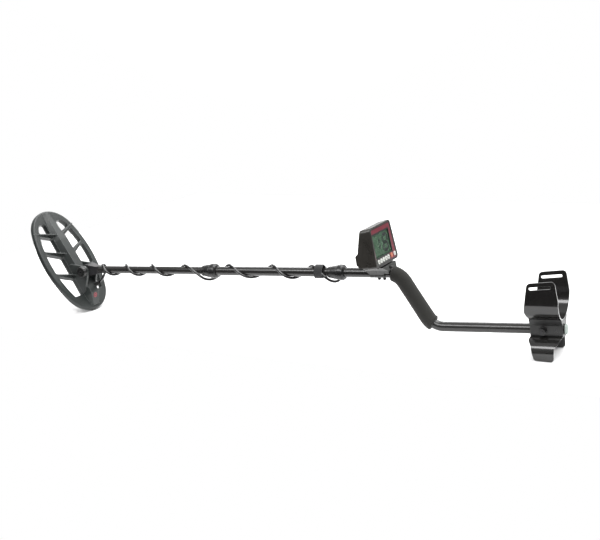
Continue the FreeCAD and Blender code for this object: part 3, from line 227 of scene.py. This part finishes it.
def joined(tree, kind, first, second):
    """Two numbers, or a socket and a number, put together."""
    made = tree.nodes.new("ShaderNodeMath")
    made.operation = kind
    for socket, value in zip(made.inputs, (first, second)):
        if isinstance(value, (int, float)):
            socket.default_value = value
        else:
            tree.links.new(value, socket)
    return made.outputs["Value"]


def within(tree, value, low_mm, high_mm):
    """One where a length lies between two, in millimetres."""
    above = joined(tree, "GREATER_THAN", value, low_mm * MM)
    below = joined(tree, "LESS_THAN", value, high_mm * MM)
    return joined(tree, "MULTIPLY", above, below)


# the film's print: colours, and bounds in millimetres across and up from the middle of the face
MAROON = ((0.135, 0.012, 0.024), (0.185, 0.020, 0.036))
PALE_STRIP = (0.250, 0.165, 0.170)
KEY_ROW_INK = (0.050, 0.052, 0.046)
BORDER_INK = (0.010, 0.010, 0.010)
BORDER_SLANT = 0.078
PALE_STRIP_ACROSS = (-80, -53.0)
KEY_ROW_UP = (-50, -25.2)
KEY_ROW_ACROSS = (-80, 17)
LCD_BORDER_UP = (-26.2, 30.2)
LCD_BORDER_ACROSS = (-54.0, 37.0)
RIGHT_BORDER = (46.8, 90)
TOP_BORDER = (39.2, 60)
BOTTOM_BORDER = (-60, -39.6)


def printed_film(name):
    """The face's film: a maroon field with a pale strip on the left, a dark key row, and black borders."""
    made, tree, shader = new_material(name)
    coordinates = tree.nodes.new("ShaderNodeTexCoord")
    mapping = tree.nodes.new("ShaderNodeMapping")
    mapping.vector_type = "TEXTURE"
    mapping.inputs["Location"].default_value = FACE.translation
    mapping.inputs["Rotation"].default_value = FACE.to_euler()
    parts = tree.nodes.new("ShaderNodeSeparateXYZ")
    tree.links.new(coordinates.outputs["Object"], mapping.inputs["Vector"])
    tree.links.new(mapping.outputs["Vector"], parts.inputs["Vector"])
    across = parts.outputs["Y"]
    up = parts.outputs["Z"]
    slanted = joined(tree, "ADD", across, joined(tree, "MULTIPLY", up, BORDER_SLANT))
    ink = noise(tree, 22)
    tone = ramp(tree, ink, *MAROON)
    tone = blend_colours(tree, within(tree, across, *PALE_STRIP_ACROSS), tone, PALE_STRIP)
    keys = joined(tree, "MULTIPLY", within(tree, up, *KEY_ROW_UP), within(tree, across, *KEY_ROW_ACROSS))
    tone = blend_colours(tree, keys, tone, KEY_ROW_INK)
    rim = joined(tree, "MULTIPLY", within(tree, up, *LCD_BORDER_UP), within(tree, across, *LCD_BORDER_ACROSS))
    borders = joined(tree, "MAXIMUM", rim, within(tree, slanted, *RIGHT_BORDER))
    borders = joined(tree, "MAXIMUM", borders, within(tree, up, *TOP_BORDER))
    borders = joined(tree, "MAXIMUM", borders, within(tree, up, *BOTTOM_BORDER))
    tone = blend_colours(tree, borders, tone, BORDER_INK)
    tree.links.new(tone, shader.inputs["Base Color"])
    bump = tree.nodes.new("ShaderNodeBump")
    bump.inputs["Distance"].default_value = 0.02 * MM
    tree.links.new(noise(tree, 0.7), bump.inputs["Height"])
    tree.links.new(bump.outputs["Normal"], shader.inputs["Normal"])
    tree.links.new(spread(tree, ink, 0.28, 0.40), shader.inputs["Roughness"])
    return made


def cloth(name, colour, loop_mm):
    """Hook-and-loop fabric: a cell pattern for the small loops, with a painted highlight on their raised middles
    and painted shade in the gaps between them.
    """
    made, tree, shader = new_material(name)
    loops = noise(tree, loop_mm, (1, 1, 1), 2.0, True)
    fuzz = noise(tree, loop_mm * 3)
    # painted highlight and shade: the loops' raised middles lighter, the recessed gaps between them darker
    tree.links.new(ramp(tree, loops, scaled(colour, 1.9), scaled(colour, 0.5), 0.1, 0.7),
                   shader.inputs["Base Color"])
    bump = tree.nodes.new("ShaderNodeBump")
    bump.invert = True
    bump.inputs["Distance"].default_value = 0.35 * MM
    tree.links.new(loops, bump.inputs["Height"])
    tree.links.new(bump.outputs["Normal"], shader.inputs["Normal"])
    tree.links.new(spread(tree, fuzz, 0.8, 0.98), shader.inputs["Roughness"])
    shader.inputs["Sheen Weight"].default_value = 0.3
    return made


SAWN_ALONG = tuple(ROD.to_3x3() @ Vector((1, 0, 0)))
# The edge colours given below are part rubbed wear and part painted highlight.
COIL_PLASTIC = surface("coil_plastic", (0.018, 0.0215, 0.0205), 0.42, patch_mm=45, grain_mm=0.9,
                       edge_wear_and_highlight=(0.24, 0.26, 0.255), edge_mm=1.3, edge_strength=0.8)
BLACK_PLASTIC = surface("black_plastic", (0.010, 0.010, 0.010), 0.30, edge_wear_and_highlight=(0.10, 0.10, 0.10), edge_mm=0.7)
NYLON = surface("nylon", (0.012, 0.012, 0.013), 0.38, edge_wear_and_highlight=(0.10, 0.10, 0.10))
TUBE_COAT = surface("tube_coat", (0.013, 0.0125, 0.012), 0.26, vary=0.12, grain_mm=0.5, grain_height_mm=0.02,
                    stretch=(0.25, 1, 1), edge_wear_and_highlight=(0.16, 0.16, 0.16), edge_mm=0.4, coat=0.2)
BOX_PLASTIC = surface("box_plastic", (0.026, 0.024, 0.021), 0.30, edge_wear_and_highlight=(0.045, 0.045, 0.042), edge_mm=0.8)
BRACKET_PLASTIC = surface("bracket_plastic", (0.024, 0.025, 0.023), 0.30, edge_wear_and_highlight=(0.22, 0.22, 0.21))
CUFF_SHEET = surface("cuff_sheet", (0.013, 0.0125, 0.012), 0.16, patch_mm=60, grain_mm=1.2,
                     grain_height_mm=0.015, edge_wear_and_highlight=(0.30, 0.31, 0.30), edge_mm=0.8, edge_strength=0.6, coat=0.3,
                     cut_along=SAWN_ALONG)
SOFT_RUBBER = surface("soft_rubber", (0.012, 0.012, 0.012), 0.55, grain_height_mm=0.05)
CABLE_JACKET = surface("cable_jacket", (0.007, 0.007, 0.0075), 0.18, grain_mm=1.5, grain_height_mm=0.02,
                       coat=0.3)
FOAM = surface("foam", (0.013, 0.0125, 0.0105), 0.92, vary=0.14, patch_mm=18, grain_mm=1.4,
               grain_height_mm=0.35, cells=True, sheen=0.08)
STEEL = surface("steel", (0.45, 0.45, 0.46), 0.32, stretch=(1, 1, 4), metallic=1.0)
BLACK_STEEL = surface("black_steel", (0.05, 0.05, 0.052), 0.35, metallic=0.9, edge_wear_and_highlight=(0.3, 0.3, 0.3))
BRASS = surface("brass", (0.62, 0.32, 0.14), 0.26, metallic=1.0)
COPPER = surface("copper", (0.50, 0.20, 0.09), 0.35, stretch=(0.2, 1, 1), grain_height_mm=0.1, metallic=0.8)
END_CAP = surface("end_cap", (0.29, 0.34, 0.315), 0.5, edge_wear_and_highlight=(0.5, 0.53, 0.51))
BOARD = surface("board", (0.012, 0.13, 0.045), 0.4, grain_mm=2, grain_height_mm=0.05)
CELL_WRAP = surface("cell_wrap", (0.06, 0.07, 0.10), 0.28, coat=0.3)
FACE_FILM = printed_film("face_film")
DISPLAY = surface("display", (0.034, 0.092, 0.044), 0.6, vary=0.18, patch_mm=20, grain_mm=0.5,
                  grain_height_mm=0.01)
SEGMENT = surface("segment", (0.002, 0.006, 0.006), 0.7, grain_height_mm=0.005)
CLEAR = surface("clear_window", (0.10, 0.13, 0.11), 0.08, vary=0.05, grain_mm=6, grain_height_mm=0.004,
                alpha=0.05)
KEY_WHITE = surface("key_white", (0.66, 0.67, 0.63), 0.45, vary=0.06, edge_wear_and_highlight=(0.8, 0.8, 0.78))
KEY_ORANGE = surface("key_orange", (0.55, 0.17, 0.09), 0.45, vary=0.1, edge_wear_and_highlight=(0.7, 0.3, 0.2))
KEY_MARK = surface("key_mark", (0.03, 0.03, 0.03), 0.5)
BADGE = surface("badge", (0.30, 0.030, 0.045), 0.35, coat=0.2)
HOOK_AND_LOOP = cloth("hook_and_loop", (0.013, 0.013, 0.014), 0.9)

FINISHES = {
    COIL_PLASTIC: ["coil_top_shell", "coil_bottom_cover"],
    COPPER: ["transmit_winding", "receive_winding"],
    SOFT_RUBBER: ["cable_gland", "pivot_washers"],
    NYLON: ["pivot_bolt", "rod_tip"],
    BLACK_PLASTIC: ["pivot_knob", "lower_collar", "upper_collar", "battery_holder", "speaker", "headphone_jack",
                    "cable_socket", "cable_plug", "cuff_saddle", "cuff_nut"],
    TUBE_COAT: ["lower_rod_tube", "middle_tube", "s_tube"],
    BRASS: ["lock_button"],
    STEEL: ["button_leaf", "battery_contacts", "bracket_bolts", "cuff_rivets", "stand_screws"],
    BLACK_STEEL: ["bracket_nuts", "cuff_bolt"],
    END_CAP: ["tube_end_cap"],
    BOX_PLASTIC: ["housing_front", "housing_rear", "battery_door"],
    FACE_FILM: ["faceplate"],
    CLEAR: ["lcd_window"],
    DISPLAY: ["lcd_panel"],
    BOARD: ["circuit_board"],
    CELL_WRAP: ["battery_cells"],
    BRACKET_PLASTIC: ["box_bracket"],
    CUFF_SHEET: ["arm_cuff", "stand"],
    HOOK_AND_LOOP: ["cable_tie"],
    KEY_WHITE: ["key_1", "key_2", "key_3", "key_4", "key_5", "key_7"],
    KEY_ORANGE: ["key_6"],
}
for finish, names in FINISHES.items():
    for name in names:
        slots = nodes[name].material_slots
        if not slots:
            nodes[name].data.materials.append(finish)
        for slot in slots:
            slot.material = finish


# ---------------------------------------------------------------- mesh helpers
def new_piece(name, vertices, faces, finish, body, smooth=True):
    """A mesh piece that rides on a body; with no body it is left free."""
    mesh = bpy.data.meshes.new(name)
    mesh.from_pydata([tuple(v) for v in vertices], [], faces)
    mesh.update()
    shape = bmesh.new()
    shape.from_mesh(mesh)
    bmesh.ops.recalc_face_normals(shape, faces=shape.faces)
    shape.to_mesh(mesh)
    shape.free()
    for polygon in mesh.polygons:
        polygon.use_smooth = smooth
    mesh.materials.append(finish)
    made = bpy.data.objects.new(name, mesh)
    bpy.context.collection.objects.link(made)
    if body:
        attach(made, body)
    return made


def frames_along(path, start_up):
    """Two cross directions at each point of a path, carried along it without twist."""
    up = start_up
    found = []
    for index, here in enumerate(path):
        ahead = path[min(index + 1, len(path) - 1)] - path[max(index - 1, 0)]
        ahead.normalize()
        up = (up - ahead * up.dot(ahead)).normalized()
        found.append((up, ahead.cross(up)))
    return found


def tube_piece(name, path, radius, finish, body, sides=16, start_up=Vector((0.3, 0.2, 1))):
    """A closed tube of one radius along a path."""
    vertices = []
    for here, (up, across) in zip(path, frames_along(path, start_up)):
        for step in range(sides):
            angle = 2 * math.pi * step / sides
            vertices.append(here + (up * math.cos(angle) + across * math.sin(angle)) * radius)
    faces = []
    for ring in range(len(path) - 1):
        for step in range(sides):
            following = (step + 1) % sides
            low = ring * sides
            faces.append((low + step, low + following, low + sides + following, low + sides + step))
    last = (len(path) - 1) * sides
    faces.append(tuple(range(sides)))
    faces.append(tuple(range(last, last + sides)))
    return new_piece(name, vertices, faces, finish, body)


def flat_piece(name, place, outline, low, high, finish, body, round_mm=0.0):
    """A plate in the YZ plane of a frame, from low to high along its X, in millimetres."""
    count = len(outline)
    vertices = [point(place, low, y, z) for y, z in outline] + [point(place, high, y, z) for y, z in outline]
    faces = [tuple(range(count)), tuple(range(count, 2 * count))]
    for step in range(count):
        following = (step + 1) % count
        faces.append((step, following, count + following, count + step))
    made = new_piece(name, vertices, faces, finish, body, smooth=False)
    if round_mm:
        softened = made.modifiers.new("Bevel", "BEVEL")
        softened.width = round_mm * MM
        softened.segments = 3
    return made


def ring_outline(centre, radius, count):
    """Points round a circle, as (y, z) pairs."""
    return [(centre[0] + radius * math.cos(2 * math.pi * k / count),
             centre[1] + radius * math.sin(2 * math.pi * k / count)) for k in range(count)]


# ---------------------------------------------------------------- coil cable
# The route's points, in millimetres in the rods' frame: out of the gland, round the rods, and down to the plug.
CABLE_RADIUS = 3.1
CABLE_START = (3.893, 16.261, -42.973)
LEAD_POINTS = [CABLE_START, (24.402, 15.605, -35.039), (36, 19.5, -13), (45.5, 18, -1)]
TAIL_POINTS = [(763, 20.5, -2), (784, 20.5, -6), (801, 26, -13), (815, 34, -19), (824, 42, -14),
               (826.3, 44.3, -3), (826, 44, 4.85)]
CROSSINGS = [48, 87, 127, 168, 210, 256, 311, 382, 442, 505, 563, 617, 668, 724, 762]
STEPS_PER_HALF = 6
STEP_ANGLE = math.pi / STEPS_PER_HALF
SPLIT_STEP = 6 * STEPS_PER_HALF
LAST_STEP = 27 * STEPS_PER_HALF // 2
LOWER_TUBE = 9.525
UPPER_TUBE = 11.1
COLLAR_RIM = 18.2
COLLAR_MIDDLES = (388, 734)


def winding_radius(x):
    """Distance of the cable's line from the rods' axis: close to the tubes, further out over the collars."""
    base = (LOWER_TUBE if x < 350 else UPPER_TUBE) + CABLE_RADIUS + 0.35
    on_collar = COLLAR_RIM + CABLE_RADIUS + 0.7
    for middle in COLLAR_MIDDLES:
        reach = abs(x - middle)
        if reach < 33:
            return base + (on_collar - base) * min(1.0, (33 - reach) / 19)
    return base


def winding_points(first_step, last_step):
    """Points of the winding, counted in steps from the first crossing over the top of the rods."""
    found = []
    for index in range(first_step, last_step + 1):
        half_turn, step = divmod(max(index, 0), STEPS_PER_HALF)
        start = CROSSINGS[half_turn]
        end = CROSSINGS[min(half_turn + 1, len(CROSSINGS) - 1)]
        x = start + (end - start) * step / STEPS_PER_HALF
        radius = winding_radius(x) / math.cos(STEP_ANGLE / 2)
        angle = STEP_ANGLE * index
        found.append((x, -radius * math.sin(angle), radius * math.cos(angle)))
    return found


def smooth_line(control):
    """The NURBS line that follows a route's points."""
    curve = bpy.data.curves.new("cable_line", "CURVE")
    curve.dimensions = "3D"
    spline = curve.splines.new("NURBS")
    spline.points.add(len(control) - 1)
    for knot, place in zip(spline.points, control):
        knot.co = (*point(ROD, *place), 1)
    spline.order_u = 3
    spline.use_endpoint_u = True
    spline.resolution_u = 8
    holder = bpy.data.objects.new("cable_line", curve)
    bpy.context.collection.objects.link(holder)
    bpy.context.view_layer.update()
    mesh = bpy.data.meshes.new_from_object(holder)
    found = [v.co.copy() for v in mesh.vertices]
    bpy.data.objects.remove(holder)
    return found


route = LEAD_POINTS + winding_points(-2, LAST_STEP) + TAIL_POINTS
line = smooth_line(route)
lead_end = len(LEAD_POINTS) + 1     # the run where the lead becomes the winding
lower_end = lead_end + SPLIT_STEP
stretches = len(route) - 2
lead_index = round((len(line) - 1) * lead_end / stretches)
lower_index = round((len(line) - 1) * lower_end / stretches)

lead = tube_piece("cable_at_coil", line[:lead_index + 1], CABLE_RADIUS * MM, CABLE_JACKET, None)
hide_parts("coil_lead")
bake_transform(lead)

lower_line = line[lead_index:lower_index + 1]
lower_cable = tube_piece("cable_on_lower_rod", lower_line, CABLE_RADIUS * MM, CABLE_JACKET, "lower_rod")
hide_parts("lower_rod_cable")
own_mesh(lower_cable)

upper_cable = tube_piece("cable_on_handle", line[lower_index:], CABLE_RADIUS * MM, CABLE_JACKET, "handle")
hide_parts("upper_cable")

# ---------------------------------------------------------------- lock button's spring leaf
leaf_mesh = nodes["button_leaf"].data
leaf_faces = [tuple(polygon.vertices) for polygon in leaf_mesh.polygons]
leaf = new_piece("spring_leaf", [v.co for v in leaf_mesh.vertices], leaf_faces, STEEL, "handle", smooth=False)
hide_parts("button_leaf")
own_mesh(leaf)

# ---------------------------------------------------------------- foam grip
CORNER_A = Vector((880.4, 0, 0))
CORNER_B = Vector((951.6, 0, -119.7))
TUBE_END = Vector((1240.6, 0, -115))
BEND_RADIUS = 42.0
GRIP_RADIUS = 17.5
GRIP_BORE = 11.12
GRIP_SIDES = 48
GRIP_END_ROUNDING = 3.2
GRIP_WEAR = 0.35                        # thinner by this much in the middle, where a hand holds it
GRIP_FIRST_TURN = math.radians(13)      # how far into the first bend the grip starts
GRIP_LAST_TURN = math.radians(28)       # how far into the second bend it ends


def grip_line():
    """The grip's middle line, in millimetres in the rods' frame: part of a bend, a straight, part of a bend."""
    down = (CORNER_B - CORNER_A).normalized()
    level = (TUBE_END - CORNER_B).normalized()
    first = down.angle(Vector((1, 0, 0)))
    centre_a = CORNER_A + Vector((-BEND_RADIUS * math.tan(first / 2), 0, -BEND_RADIUS))
    second = down.angle(level)
    leave_b = CORNER_B + level * BEND_RADIUS * math.tan(second / 2)
    centre_b = leave_b + Vector((-level.z, 0, level.x)) * BEND_RADIUS
    reach_b = CORNER_B - down * BEND_RADIUS * math.tan(second / 2)
    found = []
    for step in range(17):
        angle = GRIP_FIRST_TURN + (first - GRIP_FIRST_TURN) * step / 16
        found.append(centre_a + Vector((math.sin(angle), 0, math.cos(angle))) * BEND_RADIUS)
    straight_start = found[-1]
    for step in range(1, 20):
        found.append(straight_start.lerp(reach_b, step / 20))
    arm = reach_b - centre_b
    for step in range(13):
        angle = GRIP_LAST_TURN * step / 12
        turned = Vector((arm.x * math.cos(angle) - arm.z * math.sin(angle), 0,
                         arm.x * math.sin(angle) + arm.z * math.cos(angle)))
        found.append(centre_b + turned)
    return found


def foam_grip():
    """A foam sleeve with rounded ends, thinner where a hand has pressed it."""
    path = [point(ROD, *p) for p in grip_line()]
    sides = GRIP_SIDES
    lengths = [0.0]
    for before, after in zip(path, path[1:]):
        lengths.append(lengths[-1] + (after - before).length / MM)
    whole = lengths[-1]
    rings = []
    for index, (here, (up, across)) in enumerate(zip(path, frames_along(path, SIDE))):
        along = lengths[index]
        worn = GRIP_WEAR * math.exp(-((along - whole * 0.5) / (whole * 0.28)) ** 2)
        rings.append((here, up, across, GRIP_RADIUS - worn))
    first = rings[0]
    last = rings[-1]
    start_back = (path[0] - path[1]).normalized()
    end_on = (path[-1] - path[-2]).normalized()
    profile = rings[1:-1]
    front_cap = []
    back_cap = []
    for step in range(5):
        angle = math.pi / 2 * step / 4
        pull = GRIP_END_ROUNDING * (1 - math.sin(angle))
        inward = GRIP_END_ROUNDING * (1 - math.cos(angle))
        front_cap.append((first[0] - start_back * pull * MM, first[1], first[2], GRIP_RADIUS - inward))
        back_cap.append((last[0] - end_on * pull * MM, last[1], last[2], GRIP_RADIUS - inward))
    loops = [(first[0], first[1], first[2], GRIP_BORE)] + front_cap[::-1] + profile[1:-1] + back_cap
    loops += [(last[0], last[1], last[2], GRIP_BORE)]
    loops += [(here, up, across, GRIP_BORE) for here, up, across, radius in profile[::-1]]
    vertices = []
    for here, up, across, radius in loops:
        for step in range(sides):
            angle = 2 * math.pi * step / sides
            vertices.append(here + (up * math.cos(angle) + across * math.sin(angle)) * radius * MM)
    faces = []
    for ring in range(len(loops)):
        following_ring = (ring + 1) % len(loops)
        for step in range(sides):
            following = (step + 1) % sides
            faces.append((ring * sides + step, ring * sides + following,
                          following_ring * sides + following, following_ring * sides + step))
    return new_piece("grip_foam", vertices, faces, FOAM, "handle")


grip = foam_grip()
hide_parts("foam_grip")

# ---------------------------------------------------------------- printed face and display
DIGIT_BACK = -2.58
DIGIT_FRONT = -2.50
DIGIT_SLANT = 0.10
BAR_GAP = 0.6       # between a bar's end and the digit's corner
MARK_STARTS = (-42, -34, -26, -18)
MARK_WIDTH = 5
MARK_LOW = -21.5
MARK_HIGH = -20.3


def box_outline(y0, y1, z0, z1):
    """A rectangle's corners, as (y, z) pairs."""
    return [(y0, z0), (y1, z0), (y1, z1), (y0, z1)]


def segment(name, y, z, length, thick, upright):
    """One pointed bar of a digit."""
    half = length / 2
    tip = thick / 2
    bar = [(-half, 0), (-half + tip, tip), (half - tip, tip), (half, 0), (half - tip, -tip), (-half + tip, -tip)]
    outline = []
    for along, across in bar:
        dy, dz = (across, along) if upright else (along, across)
        outline.append((y + dy + (z + dz) * DIGIT_SLANT, z + dz))
    made = flat_piece(name, FACE, outline, DIGIT_BACK, DIGIT_FRONT, SEGMENT, "handle")


def digit(name, centre_y, centre_z, width, height, thick, bars):
    """Seven bars, of which the lit ones are drawn: a top, g middle, d bottom, f b upper, e c lower."""
    quarter = height / 4
    places = {"a": (0, 2 * quarter, False), "g": (0, 0, False), "d": (0, -2 * quarter, False),
              "f": (-width / 2, quarter, True), "b": (width / 2, quarter, True),
              "e": (-width / 2, -quarter, True), "c": (width / 2, -quarter, True)}
    for bar in bars:
        dy, dz, upright = places[bar]
        length = (height / 2 if upright else width) - 2 * BAR_GAP
        segment(name + "_" + bar, centre_y + dy, centre_z + dz, length, thick, upright)


digit("digit_units", 13, 1.5, 24, 34, 7.6, "abcdefg")
digit("digit_tens", -24, 4, 14, 26, 6.4, "bc")
for index, y in enumerate(MARK_STARTS):
    bar = flat_piece("display_mark_%d" % index, FACE, box_outline(y, y + MARK_WIDTH, MARK_LOW, MARK_HIGH),
                     DIGIT_BACK, DIGIT_FRONT, SEGMENT, "handle")

# marks on the keys: plus, minus, left, right, a ring, a bar and a dot
KEY_ROW = -31.8
KEY_FRONT = 1.0
KEY_PLACES = [-44, -31, -18, -5, 8, 26, 43]
KEY_MARKS = [
    [(-2.2, -0.45), (-0.45, -0.45), (-0.45, -2.2), (0.45, -2.2), (0.45, -0.45), (2.2, -0.45), (2.2, 0.45),
     (0.45, 0.45), (0.45, 2.2), (-0.45, 2.2), (-0.45, 0.45), (-2.2, 0.45)],
    box_outline(-2.2, 2.2, -0.45, 0.45),
    [(-1.8, 0), (1.4, -2.1), (1.4, 2.1)],
    [(1.8, 0), (-1.4, 2.1), (-1.4, -2.1)],
    ring_outline((0, 0), 1.8, 24),
    box_outline(-0.5, 0.5, -2.1, 2.1),
    ring_outline((0, 0), 1.2, 24),
]
for number, (y, mark) in enumerate(zip(KEY_PLACES, KEY_MARKS), start=1):
    outline = [(y + dy, KEY_ROW + dz) for dy, dz in mark]
    made = flat_piece("key_mark_%d" % number, FACE, outline, KEY_FRONT - 0.05, KEY_FRONT + 0.05, KEY_MARK,
                      "key_%d" % number)

# ---------------------------------------------------------------- badge on the coil's pod
def ring_piece(name, place, inner, outer, low, high, finish, body, count=48):
    """A flat ring in the YZ plane of a frame, in millimetres."""
    vertices = []
    for k in range(count):
        angle = 2 * math.pi * k / count
        for radius, height in ((inner, low), (outer, low), (outer, high), (inner, high)):
            vertices.append(point(place, height, radius * math.cos(angle), radius * math.sin(angle)))
    faces = []
    for k in range(count):
        here = 4 * k
        there = 4 * ((k + 1) % count)
        for corner in range(4):
            following = (corner + 1) % 4
            faces.append((here + corner, here + following, there + following, there + corner))
    made = new_piece(name, vertices, faces, finish, body, smooth=False)
    return made


POD_SLOPE = math.atan2(17, 29)      # the pod's top falls this steeply towards the heel
BADGE_AT = (115 * MM, -2 * MM, 15.9 * MM)
BADGE_LOW = -0.3
BADGE_HIGH = 0.5
BADGE_PLACE = COIL @ Matrix.Translation(BADGE_AT) @ Matrix.Rotation(POD_SLOPE - math.pi / 2, 4, "Y")
ring_piece("badge_ring", BADGE_PLACE, 4.6, 6.4, BADGE_LOW, BADGE_HIGH, BADGE, "coil")
dot = flat_piece("badge_dot", BADGE_PLACE, ring_outline((0, 0), 2.4, 32), BADGE_LOW, BADGE_HIGH, BADGE, "coil")

# ---------------------------------------------------------------- floor, light and camera
def soft_light(name, place, aim, width, height, power):
    """A rectangular studio light."""
    data = bpy.data.lights.new(name, "AREA")
    data.shape = "RECTANGLE"
    data.size = width
    data.size_y = height
    data.energy = power
    made = bpy.data.objects.new(name, data)
    made.location = place
    made.rotation_euler = (Vector(aim) - Vector(place)).to_track_quat("-Z", "Y").to_euler()
    bpy.context.collection.objects.link(made)


FLOOR_SIDES = (-1.3, -0.20, 1.2, 1.6)   # left, near, right, far
FLOOR_DROP = 0.0005                     # below the feet
SUN_ENERGY = 3.2
SUN_SPREAD = 50                         # degrees
SUN_FROM = (0.35, 0.30, 1.0)
LIGHTS = [                              # name, place, aim, width, height, power
    ("strip_light", (0.0, -1.3, 1.35), (0.2, 0, 0.1), 2.6, 0.45, 36),
    ("side_light", (2.3, 0.3, 1.2), (0.3, 0, 0.1), 0.8, 1.2, 9),
    ("back_light", (-0.6, 1.8, 1.6), (0, 0, 0.1), 2.2, 0.5, 22),
]
BACK_WALL = (-0.47, 0.86, 0.20)         # the direction of the bright back wall
OVERHEAD_LIGHT = 0.70
WALL_LIGHT = 1.1
WALL_FOCUS = 4.0
LEAST_LIGHT = 0.06


def studio():
    """The floor, the world and the lights."""
    floor_paint, tree, shader = new_material("floor_paint")
    tree.links.new(ramp(tree, noise(tree, 400), (0.90, 0.90, 0.90), (0.92, 0.92, 0.92)),
                   shader.inputs["Base Color"])
    shader.inputs["Roughness"].default_value = 0.9
    shader.inputs["Specular IOR Level"].default_value = 0.1
    mesh = bpy.data.meshes.new("floor")
    left, near, right, far = FLOOR_SIDES
    mesh.from_pydata([(left, near, 0), (right, near, 0), (right, far, 0), (left, far, 0)], [], [(0, 1, 2, 3)])
    mesh.materials.append(floor_paint)
    floor = bpy.data.objects.new("floor", mesh)
    floor.location.z = -FLOOR_DROP
    bpy.context.collection.objects.link(floor)
    bpy.context.scene.world = white_room()
    sun = bpy.data.lights.new("overhead", "SUN")
    sun.energy = SUN_ENERGY
    sun.angle = math.radians(SUN_SPREAD)
    overhead = bpy.data.objects.new("overhead", sun)
    overhead.rotation_euler = Vector(SUN_FROM).to_track_quat("Z", "Y").to_euler()
    bpy.context.collection.objects.link(overhead)
    for light in LIGHTS:
        soft_light(*light)
    bpy.context.scene.view_settings.view_transform = "Standard"


def white_room():
    """A white room, brightest overhead and at its back wall, so that dark glossy parts keep their contrast."""
    world = bpy.data.worlds.new("studio")
    world.use_nodes = True
    tree = world.node_tree
    backdrop = tree.nodes["Background"]
    backdrop.inputs["Color"].default_value = (1, 1, 1, 1)
    direction = tree.nodes.new("ShaderNodeTexCoord")
    parts = tree.nodes.new("ShaderNodeSeparateXYZ")
    tree.links.new(direction.outputs["Generated"], parts.inputs["Vector"])
    high = joined(tree, "MAXIMUM", parts.outputs["Z"], 0.0)
    towards_wall = tree.nodes.new("ShaderNodeVectorMath")
    towards_wall.operation = "DOT_PRODUCT"
    towards_wall.inputs[1].default_value = BACK_WALL
    tree.links.new(direction.outputs["Generated"], towards_wall.inputs[0])
    wall = joined(tree, "POWER", joined(tree, "MAXIMUM", towards_wall.outputs["Value"], 0.0), WALL_FOCUS)
    light = joined(tree, "ADD", joined(tree, "MULTIPLY", high, OVERHEAD_LIGHT),
                   joined(tree, "MULTIPLY", wall, WALL_LIGHT))
    light = joined(tree, "ADD", light, LEAST_LIGHT)
    seen = tree.nodes.new("ShaderNodeLightPath").outputs["Is Camera Ray"]
    tree.links.new(joined(tree, "MAXIMUM", light, seen), backdrop.inputs["Strength"])
    return world


CAMERA_TURN = 28.90         # degrees
CAMERA_RISE = 14.05
CAMERA_ROLL = -3.78
CAMERA_AIM = (0.0787, 0, 0.1451)
CAMERA_DISTANCE = 2.2898
CAMERA_LENS = 59.24
SENSOR_WIDTH = 36


def camera():
    """Looks across the detector from the user's left rear, slightly rolled."""
    turn, rise, roll = (math.radians(angle) for angle in (CAMERA_TURN, CAMERA_RISE, CAMERA_ROLL))
    forward = Vector((-math.sin(turn) * math.cos(rise), math.cos(turn) * math.cos(rise), -math.sin(rise)))
    level = Vector((math.cos(turn), math.sin(turn), 0))
    right = level * math.cos(roll) + level.cross(forward) * math.sin(roll)
    matrix = Matrix((right, right.cross(forward), -forward)).transposed().to_4x4()
    matrix.translation = Vector(CAMERA_AIM) - forward * CAMERA_DISTANCE
    data = bpy.data.cameras.new("camera")
    data.lens = CAMERA_LENS
    data.sensor_width = SENSOR_WIDTH
    made = bpy.data.objects.new("camera", data)
    made.matrix_world = matrix
    bpy.context.collection.objects.link(made)
    bpy.context.scene.camera = made


studio()
camera()
